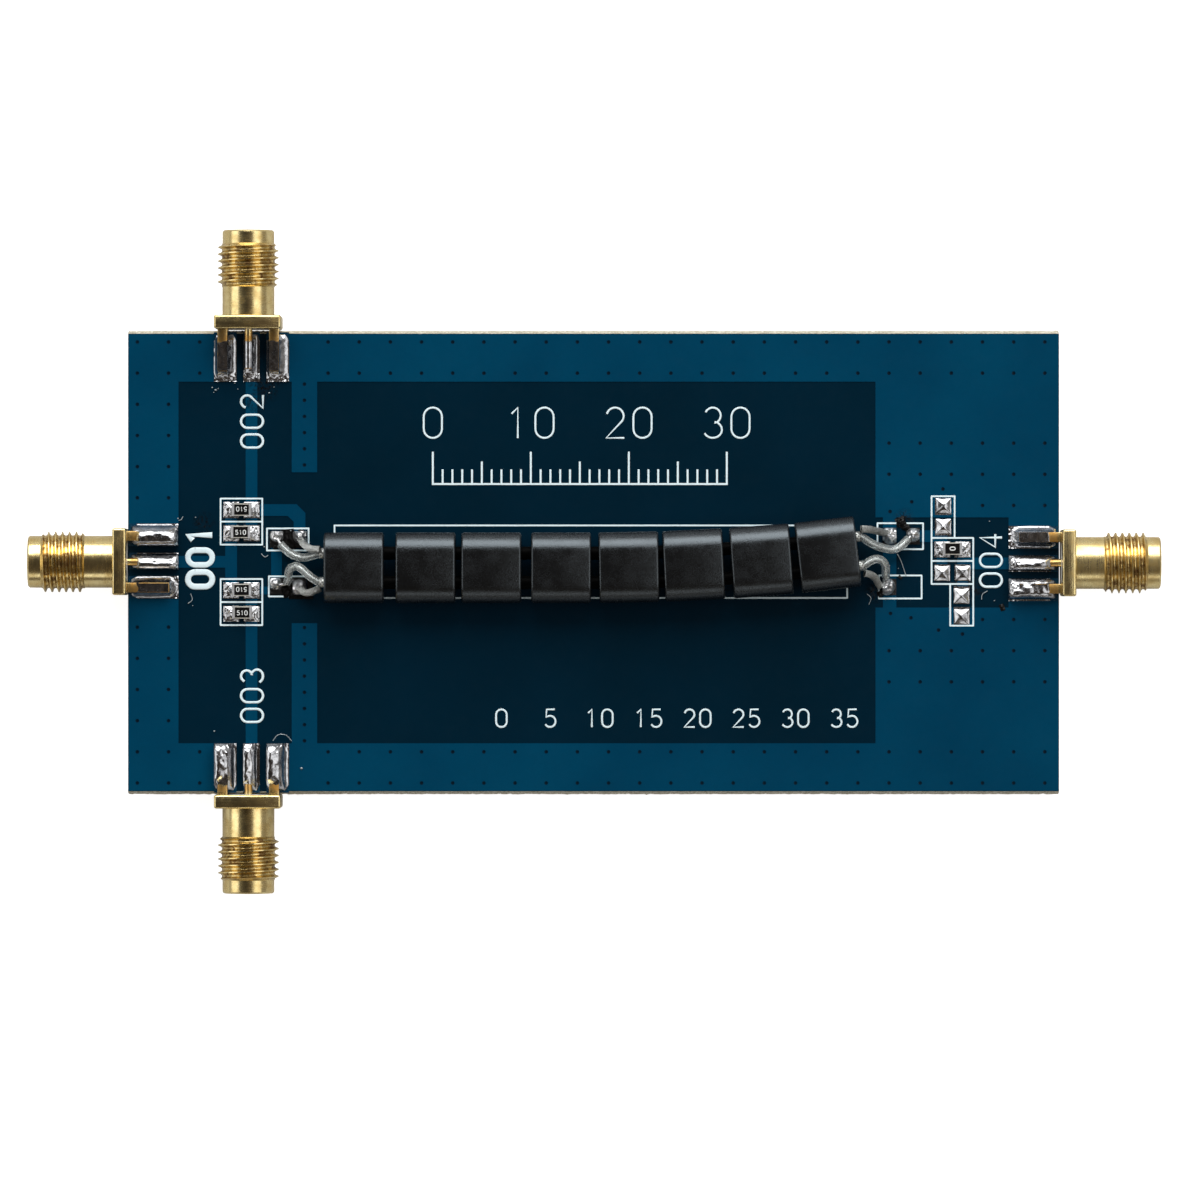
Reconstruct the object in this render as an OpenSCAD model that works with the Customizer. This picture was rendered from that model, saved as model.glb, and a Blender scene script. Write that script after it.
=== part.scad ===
// Return loss bridge: a lacquered board, four edge launch coaxial jacks and a ferrite balun.
// The origin is the middle of the footprint, on the plane that the four flanges stand on.
// +X points to the output jack, +Y to the reference jack and +Z up.

/* [Board] */
// Room on the board to the left of the row of cores
left_room = 20.05; // [18:0.05:30]
// Room on the board to the right of the row of cores
right_room = 20.62; // [19:0.02:30]
// Width of the board over its scored edges
board_w = 47.2; // [44:0.2:60]
// Thickness of the laminate
board_t = 1.6; // [1:0.1:2]
// How far each scored edge slopes in
score_in = 0.25; // [0.1:0.05:0.5]
// How deep a score runs into the laminate
score_deep = 0.45; // [0.2:0.05:0.6]
// Width of the ground border that the jack pads cross
border = 5.15; // [4.8:0.05:6]

/* [Copper and print] */
// Height of a lacquered copper field over the bare laminate
copper_t = 0.05; // [0.03:0.01:0.1]
// Width of the signal traces
trace_w = 1.2; // [0.8:0.1:1.4]
// Width of the printed lines
line_w = 0.17; // [0.12:0.01:0.3]
// Thickness of the printed lines
print_t = 0.03; // [0.02:0.01:0.04]
// Bore of a via
via_d = 0.3; // [0.2:0.05:0.8]
// Pitch of the via grid
via_pitch = 3.18; // [2.5:0.02:4]
// Pitch of the stitching vias in the ground fingers
finger_pitch = 1.65; // [1.2:0.05:2.5]
// Width of the ground fingers between the two windows
finger_w = 2.6; // [2:0.1:3.5]
// Distance from the left end of the board to the fingers
finger_off = 16.7; // [16.5:0.05:17]
// Distance from the right end of the board to the main window
main_window_off = 18.73; // [18.5:0.01:19.5]
// Reach of the output window to each side of the middle line
port_window_y = 4.6; // [4.2:0.1:6]
// Ground column beside the output window: distance from the right end of the board
column_off = 16.6; // [16.3:0.05:17]
// Width of that column
column_w = 1.37; // [1:0.01:1.6]

/* [Jacks] */
// Width of the square flange
flange_w = 6.8; // [6.4:0.1:7.5]
// Thickness of the flange
flange_t = 1.4; // [1:0.05:2]
// Bevel along the flange edges
flange_bevel = 0.2; // [0.05:0.05:0.3]
// Diameter of the plain neck
neck_d = 5.3; // [5:0.05:5.6]
// Length of the plain neck
neck_l = 2.9; // [1:0.1:5]
// Diameter over the thread crests
thread_d = 6.2; // [5.8:0.05:6.35]
// Length of the threaded stretch
thread_l = 4.45; // [3:0.05:7]
// Diameter of the plain tip
tip_d = 5.3; // [5:0.05:5.6]
// Length of the plain tip
tip_l = 1.35; // [0.8:0.05:2]
// Bore of the socket
socket_d = 4.6; // [4.4:0.02:4.8]
// Depth of the socket
socket_deep = 1.9; // [1.5:0.1:2.5]
// Diameter of the insulator
insulator_d = 4.1; // [3.6:0.05:4.3]
// Diameter of the spring contact
contact_d = 1.27; // [1.2:0.01:1.5]
// Bore of the spring contact
contact_bore = 0.94; // [0.9:0.01:1]
// Diameter of the solder pin
pin_d = 0.8; // [0.6:0.05:1]
// Length of the solder pin behind the flange
pin_l = 4; // [3:0.1:4.8]
// Width of a board leg
leg_w = 1; // [0.8:0.05:1.2]
// Depth of the bore in the spring contact
contact_deep = 2.2; // [1.5:0.1:3]
// Length of the slits in the spring contact
slit_l = 1.9; // [1:0.1:2.5]
// Width of the slits in the spring contact
slit_w = 0.15; // [0.1:0.01:0.25]
// Length of a board leg behind the flange
leg_l = 4.3; // [3.5:0.1:4.8]
// Height of an upper leg
leg_h = 1.15; // [0.8:0.05:1.4]
// How far the legs stand in from the flange sides
leg_inset = 0.27; // [0.1:0.01:0.4]

/* [Ferrite cores] */
// Length of a core, along its holes
core_l = 6.1; // [5:0.1:7]
// Width of a core, across its holes
core_w = 7.2; // [6.6:0.1:8]
// Height of a core
core_h = 4.2; // [3.6:0.1:4.8]
// Bore of the two holes
core_bore = 1.7; // [1.5:0.05:2]
// Bevel at the ends of a core
core_bevel = 0.2; // [0.1:0.05:0.4]

/* [Coaxial line] */
// Diameter over the jacket, which runs through the cores
jacket_d = 1.35; // [1.25:0.05:1.5]
// Diameter over the braid
braid_d = 1.1; // [1:0.05:1.2]
// Diameter over the dielectric
dielectric_d = 0.85; // [0.7:0.05:0.9]
// Diameter of the inner conductor
conductor_d = 0.3; // [0.2:0.05:0.4]
// Diameter of a twisted braid tail
tail_d = 0.8; // [0.6:0.05:0.9]

/* [Chips] */
// Length of a chip
chip_l = 2; // [1.6:0.1:2.4]
// Width of a chip
chip_w = 1.3; // [1:0.05:1.5]
// Height of a chip
chip_h = 0.5; // [0.35:0.05:0.7]
// Length of an end cap
cap_l = 0.26; // [0.2:0.02:0.4]
// Thickness of the plating on the caps
plating_t = 0.03; // [0.02:0.01:0.05]
// Pale edge left beside the black coat
coat_margin = 0.13; // [0.05:0.01:0.2]
// Side of a chip pad
chip_pad = 1.65; // [1.5:0.05:1.8]

/* [Solder] */
// Film of solder under a pin or leg
film_t = 0.03; // [0.02:0.01:0.06]
// Spread of the solder beside a leg
fillet_w = 0.6; // [0.3:0.05:0.8]
// Bare length of leg between the board edge and the solder
bare_l = 0.55; // [0.3:0.05:1]
// Tinned margin of a pad round its solder
pad_margin = 0.05; // [0.02:0.01:0.15]
// Height of the solder pillow on an empty pad
pillow_h = 0.3; // [0.15:0.05:0.45]

/* [Hidden] */
$fn = 48;
JACKS = ["input", "reference", "device", "output"];

GOLD = "goldenrod";
SOLDER = "silver";

// Levels, from the resting plane up
axis_z = flange_w / 2;
pad_top = axis_z - pin_d / 2 - film_t;
board_top = pad_top - copper_t;
board_bottom = board_top - board_t;
foil_bottom = board_bottom - copper_t;
core_floor = board_top + print_t;

// The row of cores: the space after each core, the way each one points and the place of the row
// across the board
core_gaps = [1.2, 0.6, 1, 0.8, 0.5, 0.8, 0.7];
core_heads = [0, 0, 0, 0, 1, 2.8, 4.3, 6.5];
row_y = -0.56;
core_hole_y = (core_w - core_h) / 2;
last_core = len(core_heads) - 1;
function heading(i) = [cos(core_heads[i]), sin(core_heads[i])];
function in_row(i) = i == 0
    ? [core_l / 2, 0]
    : in_row(i - 1) + (core_l + core_gaps[i - 1]) / 2 * (heading(i - 1) + heading(i));
row_l = in_row(last_core)[0] + core_l / 2 * heading(last_core)[0];
board_l = left_room + row_l + right_room;
left_edge = -board_l / 2;
right_edge = board_l / 2;
function core_at(i) = [left_edge + left_room, row_y] + in_row(i);
function hole_end(i, line, end) =
    let (h = heading(i), p = core_at(i) + end * core_l / 2 * h + line * core_hole_y * [-h[1], h[0]])
    [p[0], p[1], core_floor + core_h / 2];

// Jacks: the way each one faces, the place of its axis and of its pads along the edge, its stand-off
jack_turn = [180, 90, -90, 0];
side_jack_off = 12.3;
side_pad_off = side_jack_off + 0.3;
jack_line = [0.07, left_edge + side_jack_off, left_edge + side_jack_off, -0.05];
pad_line = [0.15, left_edge + side_pad_off, left_edge + side_pad_off, -0.1];
jack_gap = [0.05, 0.18, 0.05, 0.2];
barrel_l = neck_l + thread_l + tip_l;
jack_l = flange_t + barrel_l;
leg_y = flange_w / 2 - leg_inset - leg_w / 2;
lower_leg_h = foil_bottom - film_t - leg_inset;
pad_outer_w = leg_w + 2 * (fillet_w + pad_margin);
pad_inner_w = 2.1 * pin_d;
pad_y = leg_y + pad_margin;

// Middle of the footprint, seen from the middle of the board
mid_x = (jack_gap[3] - jack_gap[0]) / 2;
mid_y = (jack_gap[1] - jack_gap[2]) / 2;

// Copper windows
window_x = board_l / 2 - border;
window_y = board_w / 2 - border;
finger = [left_edge + finger_off, left_edge + finger_off + finger_w];
finger_end = [9.2, -6.2];
main_window_x = right_edge - main_window_off;
column = [right_edge - column_off - column_w, right_edge - column_off];

// Chips: a cell holds two pads, and the printed cells stand side by side
pad_off = chip_l / 2 + 0.05;
cell_l = 2 * pad_off + chip_pad + 0.5;
cell_w = chip_pad + 0.7;
pair_off = 11.57;
link_off = 10.88;
pair_x = left_edge + pair_off;
pair_y = [4.17, -4.04];
link_cell = [right_edge - link_off, 1.33];
chip_cells = [
    [pair_x, pair_y[0] + cell_w / 2],
    [pair_x, pair_y[0] - cell_w / 2],
    [pair_x, pair_y[1] + cell_w / 2],
    [pair_x, pair_y[1] - cell_w / 2],
    link_cell];
// Each chip was set by hand, a little off the middle of its cell
chip_slip = [[0.03, 0.05], [-0.07, 0.12], [0.03, 0.06], [0.09, 0.12], [0, 0.08]];
cell_step = (cell_l + cell_w) / 2;
cell_side = (cell_l - cell_w) / 2;
spare_cells = [
    [link_cell[0] - cell_side, link_cell[1] + cell_step, 90],
    [link_cell[0], link_cell[1] - cell_w, 0],
    [link_cell[0] + cell_side, link_cell[1] - cell_w - cell_step, 90]];

// Coaxial pads in their printed boxes: centre, length and width of each box, then its pads
coax_boxes = [
    [left_edge + 16.3, 2.35, 4.25, 2.25], [left_edge + 16.5, -2.44, 4.25, 2.05],
    [right_edge - 16.2, 2.68, 4.65, 2.65], [right_edge - 16.2, -2.5, 4.35, 2.35]];
coax_pad = [1.4, 1.7];
left_pads = [for (x = [15.15, 17.5]) for (y = [2.35, -2.44]) [left_edge + x, y]];
right_pads = [[right_edge - 17.3, 2.68], [right_edge - 14.9, 2.68], [right_edge - 17.3, -2.5]];

// Coaxial lines, from tip to tip. The bent ends are chosen by hand: distance from the nearer end of the
// board, place across it and height over the pads
upper_left_end = [
    [15.15, 2.75, 0.2], [15.3, 2.3, 0.35], [15.55, 1.9, 0.5], [16.15, 1.25, 0.65],
    [16.9, 0.75, 0.85], [17.9, 0.5, 1.2], [18.8, 0.65, 1.7], [19.55, 0.9, 2.05]];
lower_left_end = [
    [14.95, -2, 0.2], [15.55, -2.3, 0.25], [16.15, -2.2, 0.5], [16.4, -1.7, 0.6],
    [16.4, -1.05, 0.9], [16.65, -0.55, 1.15], [17.15, -0.35, 1.35], [17.7, -0.6, 1.55],
    [18.3, -1.15, 1.75], [19, -1.7, 1.95], [19.55, -2, 2.05]];
upper_right_end = [
    [20.3, 2.65, 2.05], [19.6, 2.2, 1.9], [18.8, 1.75, 1.65], [17.9, 1.45, 1.3], [17.05, 1.3, 1],
    [16.3, 1.55, 0.75], [15.75, 2.05, 0.6], [15.35, 2.45, 0.5], [15.05, 2.75, 0.3], [14.85, 2.95, 0.2]];
lower_right_end = [
    [19.95, -0.3, 2.05], [19.4, 0.1, 2], [18.8, 0.35, 1.9], [18.2, 0.25, 1.7], [17.8, -0.2, 1.4],
    [17.7, -0.85, 1], [17.7, -1.5, 0.65], [17.65, -1.95, 0.35], [17.6, -2.4, 0.2]];
left_tails = [
    [[19.7, 1.3, 2.8], [18.9, 1.35, 2.5], [18.3, 1.6, 1.9], [17.85, 2, 1.1], [17.6, 2.4, 0.6],
        [17.5, 2.75, 0.45]],
    [[19.7, -2.6, 1.45], [18.9, -2.95, 1.25], [18.3, -3.1, 0.9], [17.8, -2.95, 0.6], [17.45, -2.6, 0.45]]];
right_tails = [
    [[20.25, 3.4, 2.45], [19.6, 3.35, 2.2], [18.9, 3.25, 1.7], [18.2, 3.1, 1.05], [17.7, 3, 0.6],
        [17.3, 2.9, 0.45]],
    [[19.9, -1.1, 1.75], [19.3, -1.25, 1.5], [18.8, -1.6, 1.1], [18.5, -2.1, 0.7], [18.2, -2.5, 0.45]]];
// How many points the bare conductor has at each end
bare_points = 2;
tube_sides = 8;

function left_points(list) = [for (p = list) [left_edge + p[0], p[1], pad_top + p[2]]];
function right_points(list) = [for (p = list) [right_edge - p[0], p[1], pad_top + p[2]]];
function row_points(line) = [for (i = [0:last_core]) for (end = [-1, 1]) hole_end(i, line, end)];
upper_route = concat(left_points(upper_left_end), row_points(1), right_points(upper_right_end));
lower_route = concat(left_points(lower_left_end), row_points(-1), right_points(lower_right_end));

// Solder at the coaxial pads: x, y, radius and height of each joint
left_joints = [
    [left_edge + 15.15, 2.55, 0.75, 0.5], [left_edge + 17.5, 2.55, 0.85, 0.85],
    [left_edge + 15.1, -2.25, 0.7, 0.45], [left_edge + 17.5, -2.55, 0.85, 0.8]];
right_joints = [
    [right_edge - 17.3, 2.8, 0.9, 0.85], [right_edge - 14.9, 2.8, 0.75, 0.6],
    [right_edge - 17.6, -2.45, 0.9, 0.8]];

function unit(v) = v / norm(v);
function way(route, i) =
    let (n = len(route) - 1, a = max(i, 1), b = min(i + 1, n))
    unit(unit(route[a] - route[a - 1]) + unit(route[b] - route[b - 1]));
function ring(route, i, r) =
    let (d = way(route, i), side = unit(cross([0, 0, 1], d)), up = cross(d, side))
    [for (k = [0:tube_sides - 1])
        let (a = 360 * k / tube_sides)
        route[i] + r * (cos(a) * side + sin(a) * up)];
function at(k) = (k + tube_sides) % tube_sides;
// Two triangles for each side of each stretch between two rings
function skin(rings, first, out) = [
    for (i = [0:rings - 2]) for (k = [0:tube_sides - 1])
        let (a = first + i * tube_sides + k, b = first + i * tube_sides + at(k + 1))
        each out
            ? [[a, a + tube_sides, b], [b, a + tube_sides, b + tube_sides]]
            : [[a, b, a + tube_sides], [b, b + tube_sides, a + tube_sides]]];

// A tube along a stretch of a route, solid when the inner diameter is 0
module tube(route, from, to, outer_d, inner_d = 0) {
    rings = to - from + 1;
    outer = [for (i = [from:to]) each ring(route, i, outer_d / 2)];
    inner = [for (i = [from:to]) each ring(route, i, inner_d / 2)];
    last = (rings - 1) * tube_sides;
    if (inner_d == 0) {
        caps = [
            for (k = [1:tube_sides - 2]) each [[0, k, k + 1], [last, last + k + 1, last + k]]];
        polyhedron(outer, concat(skin(rings, 0, true), caps));
    } else {
        hole = rings * tube_sides;
        rims = [
            for (k = [0:tube_sides - 1])
                let (n = at(k + 1))
                each [
                    [k, n, hole + k], [n, hole + n, hole + k],
                    [last + k, hole + last + k, last + n], [last + n, hole + last + k, hole + last + n]]];
        polyhedron(concat(outer, inner), concat(skin(rings, 0, true), skin(rings, hole, false), rims));
    }
}

// Everything is drawn from the middle of the board and then set on the middle of the footprint
module placed() {
    translate([-mid_x, -mid_y, 0]) children();
}

function edge_place(j, line, gap) =
    j == 0 ? [-board_l / 2 - gap, line]
    : j == 1 ? [line, board_w / 2 + gap]
    : j == 2 ? [line, -board_w / 2 - gap]
    : [board_l / 2 + gap, line];

// A jack's own frame: the middle of the flange's rear face, with +X out of the socket
module at_jack(j) {
    p = edge_place(j, jack_line[j], jack_gap[j]);
    translate([p[0], p[1], axis_z]) rotate([0, 0, jack_turn[j]]) children();
}

module rect(x1, y1, x2, y2) {
    translate([min(x1, x2), min(y1, y2)]) square([abs(x2 - x1), abs(y2 - y1)]);
}

// A trace along X or Y, square at its ends
module trace(x1, y1, x2, y2, w) {
    rect(min(x1, x2) - (y1 == y2 ? 0 : w / 2), min(y1, y2) - (x1 == x2 ? 0 : w / 2),
        max(x1, x2) + (y1 == y2 ? 0 : w / 2), max(y1, y2) + (x1 == x2 ? 0 : w / 2));
}

// Jack pads, two outer ones and a middle one, across the ground border
module jack_pads_2d(j, middle = true) {
    translate(edge_place(j, pad_line[j], 0)) rotate(jack_turn[j]) {
        for (s = [-1, 1]) rect(-border, s * pad_y - pad_outer_w / 2, -0.1, s * pad_y + pad_outer_w / 2);
        if (middle) rect(-border, -pad_inner_w / 2, -0.1, pad_inner_w / 2);
    }
}

// The strip beside a middle pad that has no copper
module pad_slot_2d(j) {
    slot = pad_y - pad_outer_w / 2;
    translate(edge_place(j, pad_line[j], 0)) rotate(jack_turn[j]) rect(-border - 0.01, -slot, 0, slot);
}

module cell_pads_2d(cell, turn) {
    translate([cell[0], cell[1]]) rotate(turn)
        for (s = [-1, 1]) translate([s * pad_off, 0]) square(chip_pad, center = true);
}

module small_pads_2d() {
    for (c = chip_cells) cell_pads_2d(c, 0);
    for (c = spare_cells) cell_pads_2d(c, c[2]);
    for (p = concat(left_pads, right_pads)) translate(p) square(coax_pad, center = true);
}

module windows_2d() {
    rect(-window_x, -window_y, finger[0], window_y);
    rect(finger[1], -window_y, main_window_x, window_y);
    rect(finger[0] - 0.01, finger_end[1], finger[1] + 0.01, finger_end[0]);
    rect(main_window_x - 0.01, -port_window_y, window_x, port_window_y);
    for (j = [0:3]) pad_slot_2d(j);
}

module traces_2d() {
    right_pad_x = pair_x + pad_off;
    left_pad_x = pair_x - pad_off;
    port_x = pad_line[1];
    corner = [left_pads[2][0], chip_cells[0][1]];
    link_left_x = link_cell[0] - pad_off;
    link_right_x = link_cell[0] + pad_off;
    thin_w = trace_w - 0.1;
    trace(port_x, window_y + 0.01, port_x, chip_cells[1][1], trace_w);
    trace(port_x, -window_y - 0.01, port_x, chip_cells[2][1], trace_w);
    trace(-window_x - 0.01, jack_line[0], left_pad_x, jack_line[0], trace_w);
    trace(left_pad_x, chip_cells[0][1], left_pad_x, chip_cells[2][1], trace_w);
    // From the first resistor to the upper line, with a sloping corner
    polygon([
        [right_pad_x, corner[1] - trace_w / 2], [corner[0] - trace_w, corner[1] - trace_w / 2],
        [corner[0] - trace_w / 2, corner[1] - trace_w], [corner[0] - trace_w / 2, left_pads[0][1]],
        [corner[0] + trace_w / 2, left_pads[0][1]], [corner[0] + trace_w / 2, corner[1] - trace_w / 4],
        [corner[0] - trace_w / 4, corner[1] + trace_w / 2], [right_pad_x, corner[1] + trace_w / 2]]);
    trace(left_pads[0][0], left_pads[0][1], left_pads[0][0], left_pads[1][1], thin_w);
    trace(right_pad_x, chip_cells[2][1], left_pads[1][0], chip_cells[2][1], trace_w * 2 / 3);
    rect(column[0], -port_window_y - 0.01, column[1], port_window_y + 0.01);
    trace(right_pads[1][0], right_pads[1][1], link_left_x, right_pads[1][1], trace_w);
    trace(link_left_x, spare_cells[0][1] - pad_off, link_left_x, spare_cells[1][1], thin_w);
    trace(link_right_x, link_cell[1], link_right_x, spare_cells[2][1] + pad_off, thin_w);
    trace(link_right_x, pad_line[3], window_x + 0.01, pad_line[3], trace_w);
}

module board_face_2d() {
    square([board_l - 0.1, board_w - 2 * score_in - 0.1], center = true);
}

module top_copper_2d() {
    difference() {
        union() {
            difference() {
                board_face_2d();
                windows_2d();
            }
            traces_2d();
        }
        small_pads_2d();
        for (j = [0:3]) jack_pads_2d(j);
    }
}

// Vias: rows along both long edges, columns at the left, a block at the right, and the stitching of
// the fingers
edge_row = board_w / 2 - 1.1;
last_column = right_edge - 1.45;
first_column = left_edge + 0.95;
edge_columns = floor((last_column - finger[1]) / via_pitch);
side_rows = floor((edge_row - 6) / via_pitch);
block_columns = floor((last_column - column[0]) / via_pitch);
block_row = 9;
block_rows = floor((window_y - block_row) / via_pitch);
finger_x = (finger[0] + finger[1]) / 2;
finger_first = window_y - 0.25;
// Vias that stand by themselves round the output pads
lone_spots = [
    [11.85, 7.5], [15.03, 6.19], [17.24, 5.2], [15.11, -5.65], [17.2, -5.2], [12.3, -6.9], [9.86, -7.3]];
upper_stitches = floor((finger_first - finger_end[0] - via_d) / finger_pitch);
lower_stitches = floor((finger_first + finger_end[1] - via_d) / finger_pitch);
via_places = concat(
    [for (i = [0:edge_columns]) for (k = [0, 1]) for (s = [-1, 1])
        [last_column - i * via_pitch, s * (edge_row - k * via_pitch)]],
    [for (k = [0:side_rows]) for (s = [-1, 1]) for (i = [0, 1])
        [first_column + i * via_pitch, s * (edge_row - k * via_pitch)]],
    [for (k = [0, 1]) for (s = [-1, 1]) [first_column + 2 * via_pitch, s * (edge_row - k * via_pitch)]],
    [for (i = [0:block_columns]) for (k = [0:block_rows - 1]) for (s = [-1, 1])
        [last_column - i * via_pitch, s * (block_row + k * via_pitch)]],
    [for (i = [0:2]) for (s = [-1, 1]) [last_column - i * via_pitch, s * (block_row - via_pitch)]],
    [for (i = [0:upper_stitches]) [finger_x, finger_first - i * finger_pitch]],
    [for (i = [0:lower_stitches]) [finger_x, -finger_first + i * finger_pitch]],
    [for (p = lone_spots) [right_edge - p[0], p[1]]]);

module vias(z1, z2) {
    for (p = via_places) translate([p[0], p[1], z1]) cylinder(d = via_d, h = z2 - z1);
}

// The laminate, with a score broken along both long edges
module laminate() {
    deep = min(score_deep, board_t / 2 - 0.1);
    half = board_w / 2;
    color("burlywood") placed() difference() {
        translate([-board_l / 2, 0, board_bottom]) rotate([90, 0, 90]) linear_extrude(board_l) polygon([
            [-half + score_in, 0], [half - score_in, 0],
            [half, deep], [half, board_t - deep],
            [half - score_in, board_t], [-half + score_in, board_t],
            [-half, board_t - deep], [-half, deep]]);
        vias(board_bottom - 0.1, board_top + 0.1);
    }
}

module top_copper() {
    color("steelblue") placed() difference() {
        translate([0, 0, board_top]) linear_extrude(copper_t) top_copper_2d();
        vias(board_top - 0.1, pad_top + 0.1);
    }
}

// The ground plane under the board, whose lacquer closes the vias
module bottom_copper() {
    color("midnightblue") placed() translate([0, 0, foil_bottom]) linear_extrude(copper_t) difference() {
        board_face_2d();
        for (j = [0:3]) jack_pads_2d(j, false);
    }
}

module top_pads() {
    color(SOLDER) placed() translate([0, 0, board_top]) linear_extrude(copper_t) {
        small_pads_2d();
        for (j = [0:3]) jack_pads_2d(j);
    }
}

module bottom_pads() {
    color(SOLDER) placed() translate([0, 0, foil_bottom]) linear_extrude(copper_t)
        for (j = [0:3]) jack_pads_2d(j, false);
}

// A printed box, whose outer corners are round as a pen leaves them
module frame_2d(x, y, l, w) {
    translate([x, y]) difference() {
        offset(r = line_w / 2, $fn = 12) square([l, w], center = true);
        square([l - line_w, w - line_w], center = true);
    }
}

// Printed boxes round the chips and the coaxial pads, and the outline under the row of cores
outline = [core_at(0)[0] - core_l / 3, -3.62, core_at(last_core)[0] + core_l / 3, 3.78];
module print_2d() {
    for (c = chip_cells) frame_2d(c[0], c[1], cell_l, cell_w);
    for (c = spare_cells) translate([c[0], c[1]]) rotate(c[2]) frame_2d(0, 0, cell_l, cell_w);
    for (b = coax_boxes) frame_2d(b[0], b[1], b[2], b[3]);
    frame_2d(
        (outline[0] + outline[2]) / 2, (outline[1] + outline[3]) / 2,
        outline[2] - outline[0], outline[3] - outline[1]);
}

// The ink lies on whatever is under it, on the bare laminate or on a copper field
module silkscreen() {
    color("white") placed() {
        translate([0, 0, board_top]) linear_extrude(print_t) difference() {
            print_2d();
            top_copper_2d();
            small_pads_2d();
        }
        translate([0, 0, pad_top]) linear_extrude(print_t) intersection() {
            print_2d();
            top_copper_2d();
        }
    }
}

// Flange: a square plate with a bevel along all its edges
module flange() {
    a = flange_w / 2;
    b = a - flange_bevel;
    t = flange_t - flange_bevel;
    face = [[-b, -a], [b, -a], [a, -b], [a, b], [b, a], [-b, a], [-a, b], [-a, -b]];
    edge = [
        [flange_bevel, -a], [t, -a], [flange_t, -b], [flange_t, b],
        [t, a], [flange_bevel, a], [0, b], [0, -b]];
    intersection() {
        rotate([90, 0, 90]) linear_extrude(flange_t) polygon(face);
        translate([0, 0, -a]) linear_extrude(flange_w) polygon(edge);
        translate([0, a, 0]) rotate([90, 0, 0]) linear_extrude(flange_w) polygon(edge);
    }
}

// Barrel: neck, threaded stretch and tip, turned in one piece, with a socket and a bore for the insulator
module barrel() {
    lead = (thread_d - neck_d) / 2 * 0.8;
    round_in = 0.15;
    inside = insulator_d / 2 - 0.3;
    foot = flange_t - 0.2;
    end = flange_t + barrel_l;
    thread_from = flange_t + neck_l;
    thread_to = thread_from + thread_l;
    rotate([0, 90, 0]) rotate_extrude() polygon([
        [inside, foot], [neck_d / 2, foot], [neck_d / 2, thread_from],
        [thread_d / 2, thread_from + lead], [thread_d / 2, thread_to - lead], [tip_d / 2, thread_to],
        [tip_d / 2, end - round_in], [tip_d / 2 - round_in, end], [inside, end]]);
}

// A cylinder along the axis of a jack
module rod(from, to, d) {
    translate([from, 0, 0]) rotate([0, 90, 0]) cylinder(d = d, h = to - from);
}

module socket_cut() {
    rod(-0.1, jack_l + 0.1, insulator_d);
    rod(jack_l - socket_deep, jack_l + 0.1, socket_d);
}

// Legs over and under the board, in the jack's frame
module legs() {
    upper = pad_top + film_t - axis_z;
    lower = foil_bottom - film_t - axis_z - lower_leg_h;
    for (s = [-1, 1]) translate([-leg_l, s * leg_y - leg_w / 2, 0]) {
        translate([0, 0, upper]) cube([leg_l + flange_t / 2, leg_w, leg_h]);
        translate([0, 0, lower]) cube([leg_l + flange_t / 2, leg_w, lower_leg_h]);
    }
}

module jack_body(j) {
    color(GOLD) placed() at_jack(j) difference() {
        union() {
            flange();
            barrel();
            legs();
        }
        socket_cut();
    }
}

// The step where the thick contact becomes the thin pin
contact_step = flange_t;
contact_end = jack_l - socket_deep;
module insulator(j) {
    color("white") placed() at_jack(j) rotate([0, 90, 0]) rotate_extrude() polygon([
        [pin_d / 2, 0], [insulator_d / 2, 0], [insulator_d / 2, contact_end],
        [contact_d / 2, contact_end], [contact_d / 2, contact_step], [pin_d / 2, contact_step]]);
}

module contact(j) {
    color(GOLD) placed() at_jack(j) difference() {
        union() {
            rod(-pin_l, contact_step, pin_d);
            rod(contact_step, contact_end, contact_d);
        }
        rod(contact_end - contact_deep, contact_end + 0.1, contact_bore);
        for (a = [0, 90]) translate([contact_end - slit_l, 0, 0]) rotate([a, 0, 0])
            translate([0, -contact_d, -slit_w / 2]) cube([slit_l + 0.1, 2 * contact_d, slit_w]);
    }
}

// A hollow curve from the foot of a fillet up to its top
function hollow(foot, top, h) = [for (t = [0:0.25:1]) [foot + (top - foot) * t, h * t * t]];
function back(list) = [for (i = [len(list) - 1:-1:0]) list[i]];

// Solder round a leg or a pin of width w, from the tip's pad end to the bare root, on z = 0
module mound(j, y, w, h, tip) {
    inner = -jack_gap[j] - border;
    root = -jack_gap[j] - bare_l;
    along = concat(hollow(inner - 0.2, -tip, h), [[root - h / 2, h], [root, 0]]);
    foot = w / 2 + fillet_w + 0.1;
    across = concat(hollow(y - foot, y - w / 2, h), back(hollow(y + foot, y + w / 2, h)));
    intersection() {
        translate([inner - 1, 0, 0]) rotate([90, 0, 90]) linear_extrude(border + 1) polygon(across);
        translate([0, y + flange_w / 2, 0]) rotate([90, 0, 0]) linear_extrude(flange_w) polygon(along);
    }
}

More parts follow.
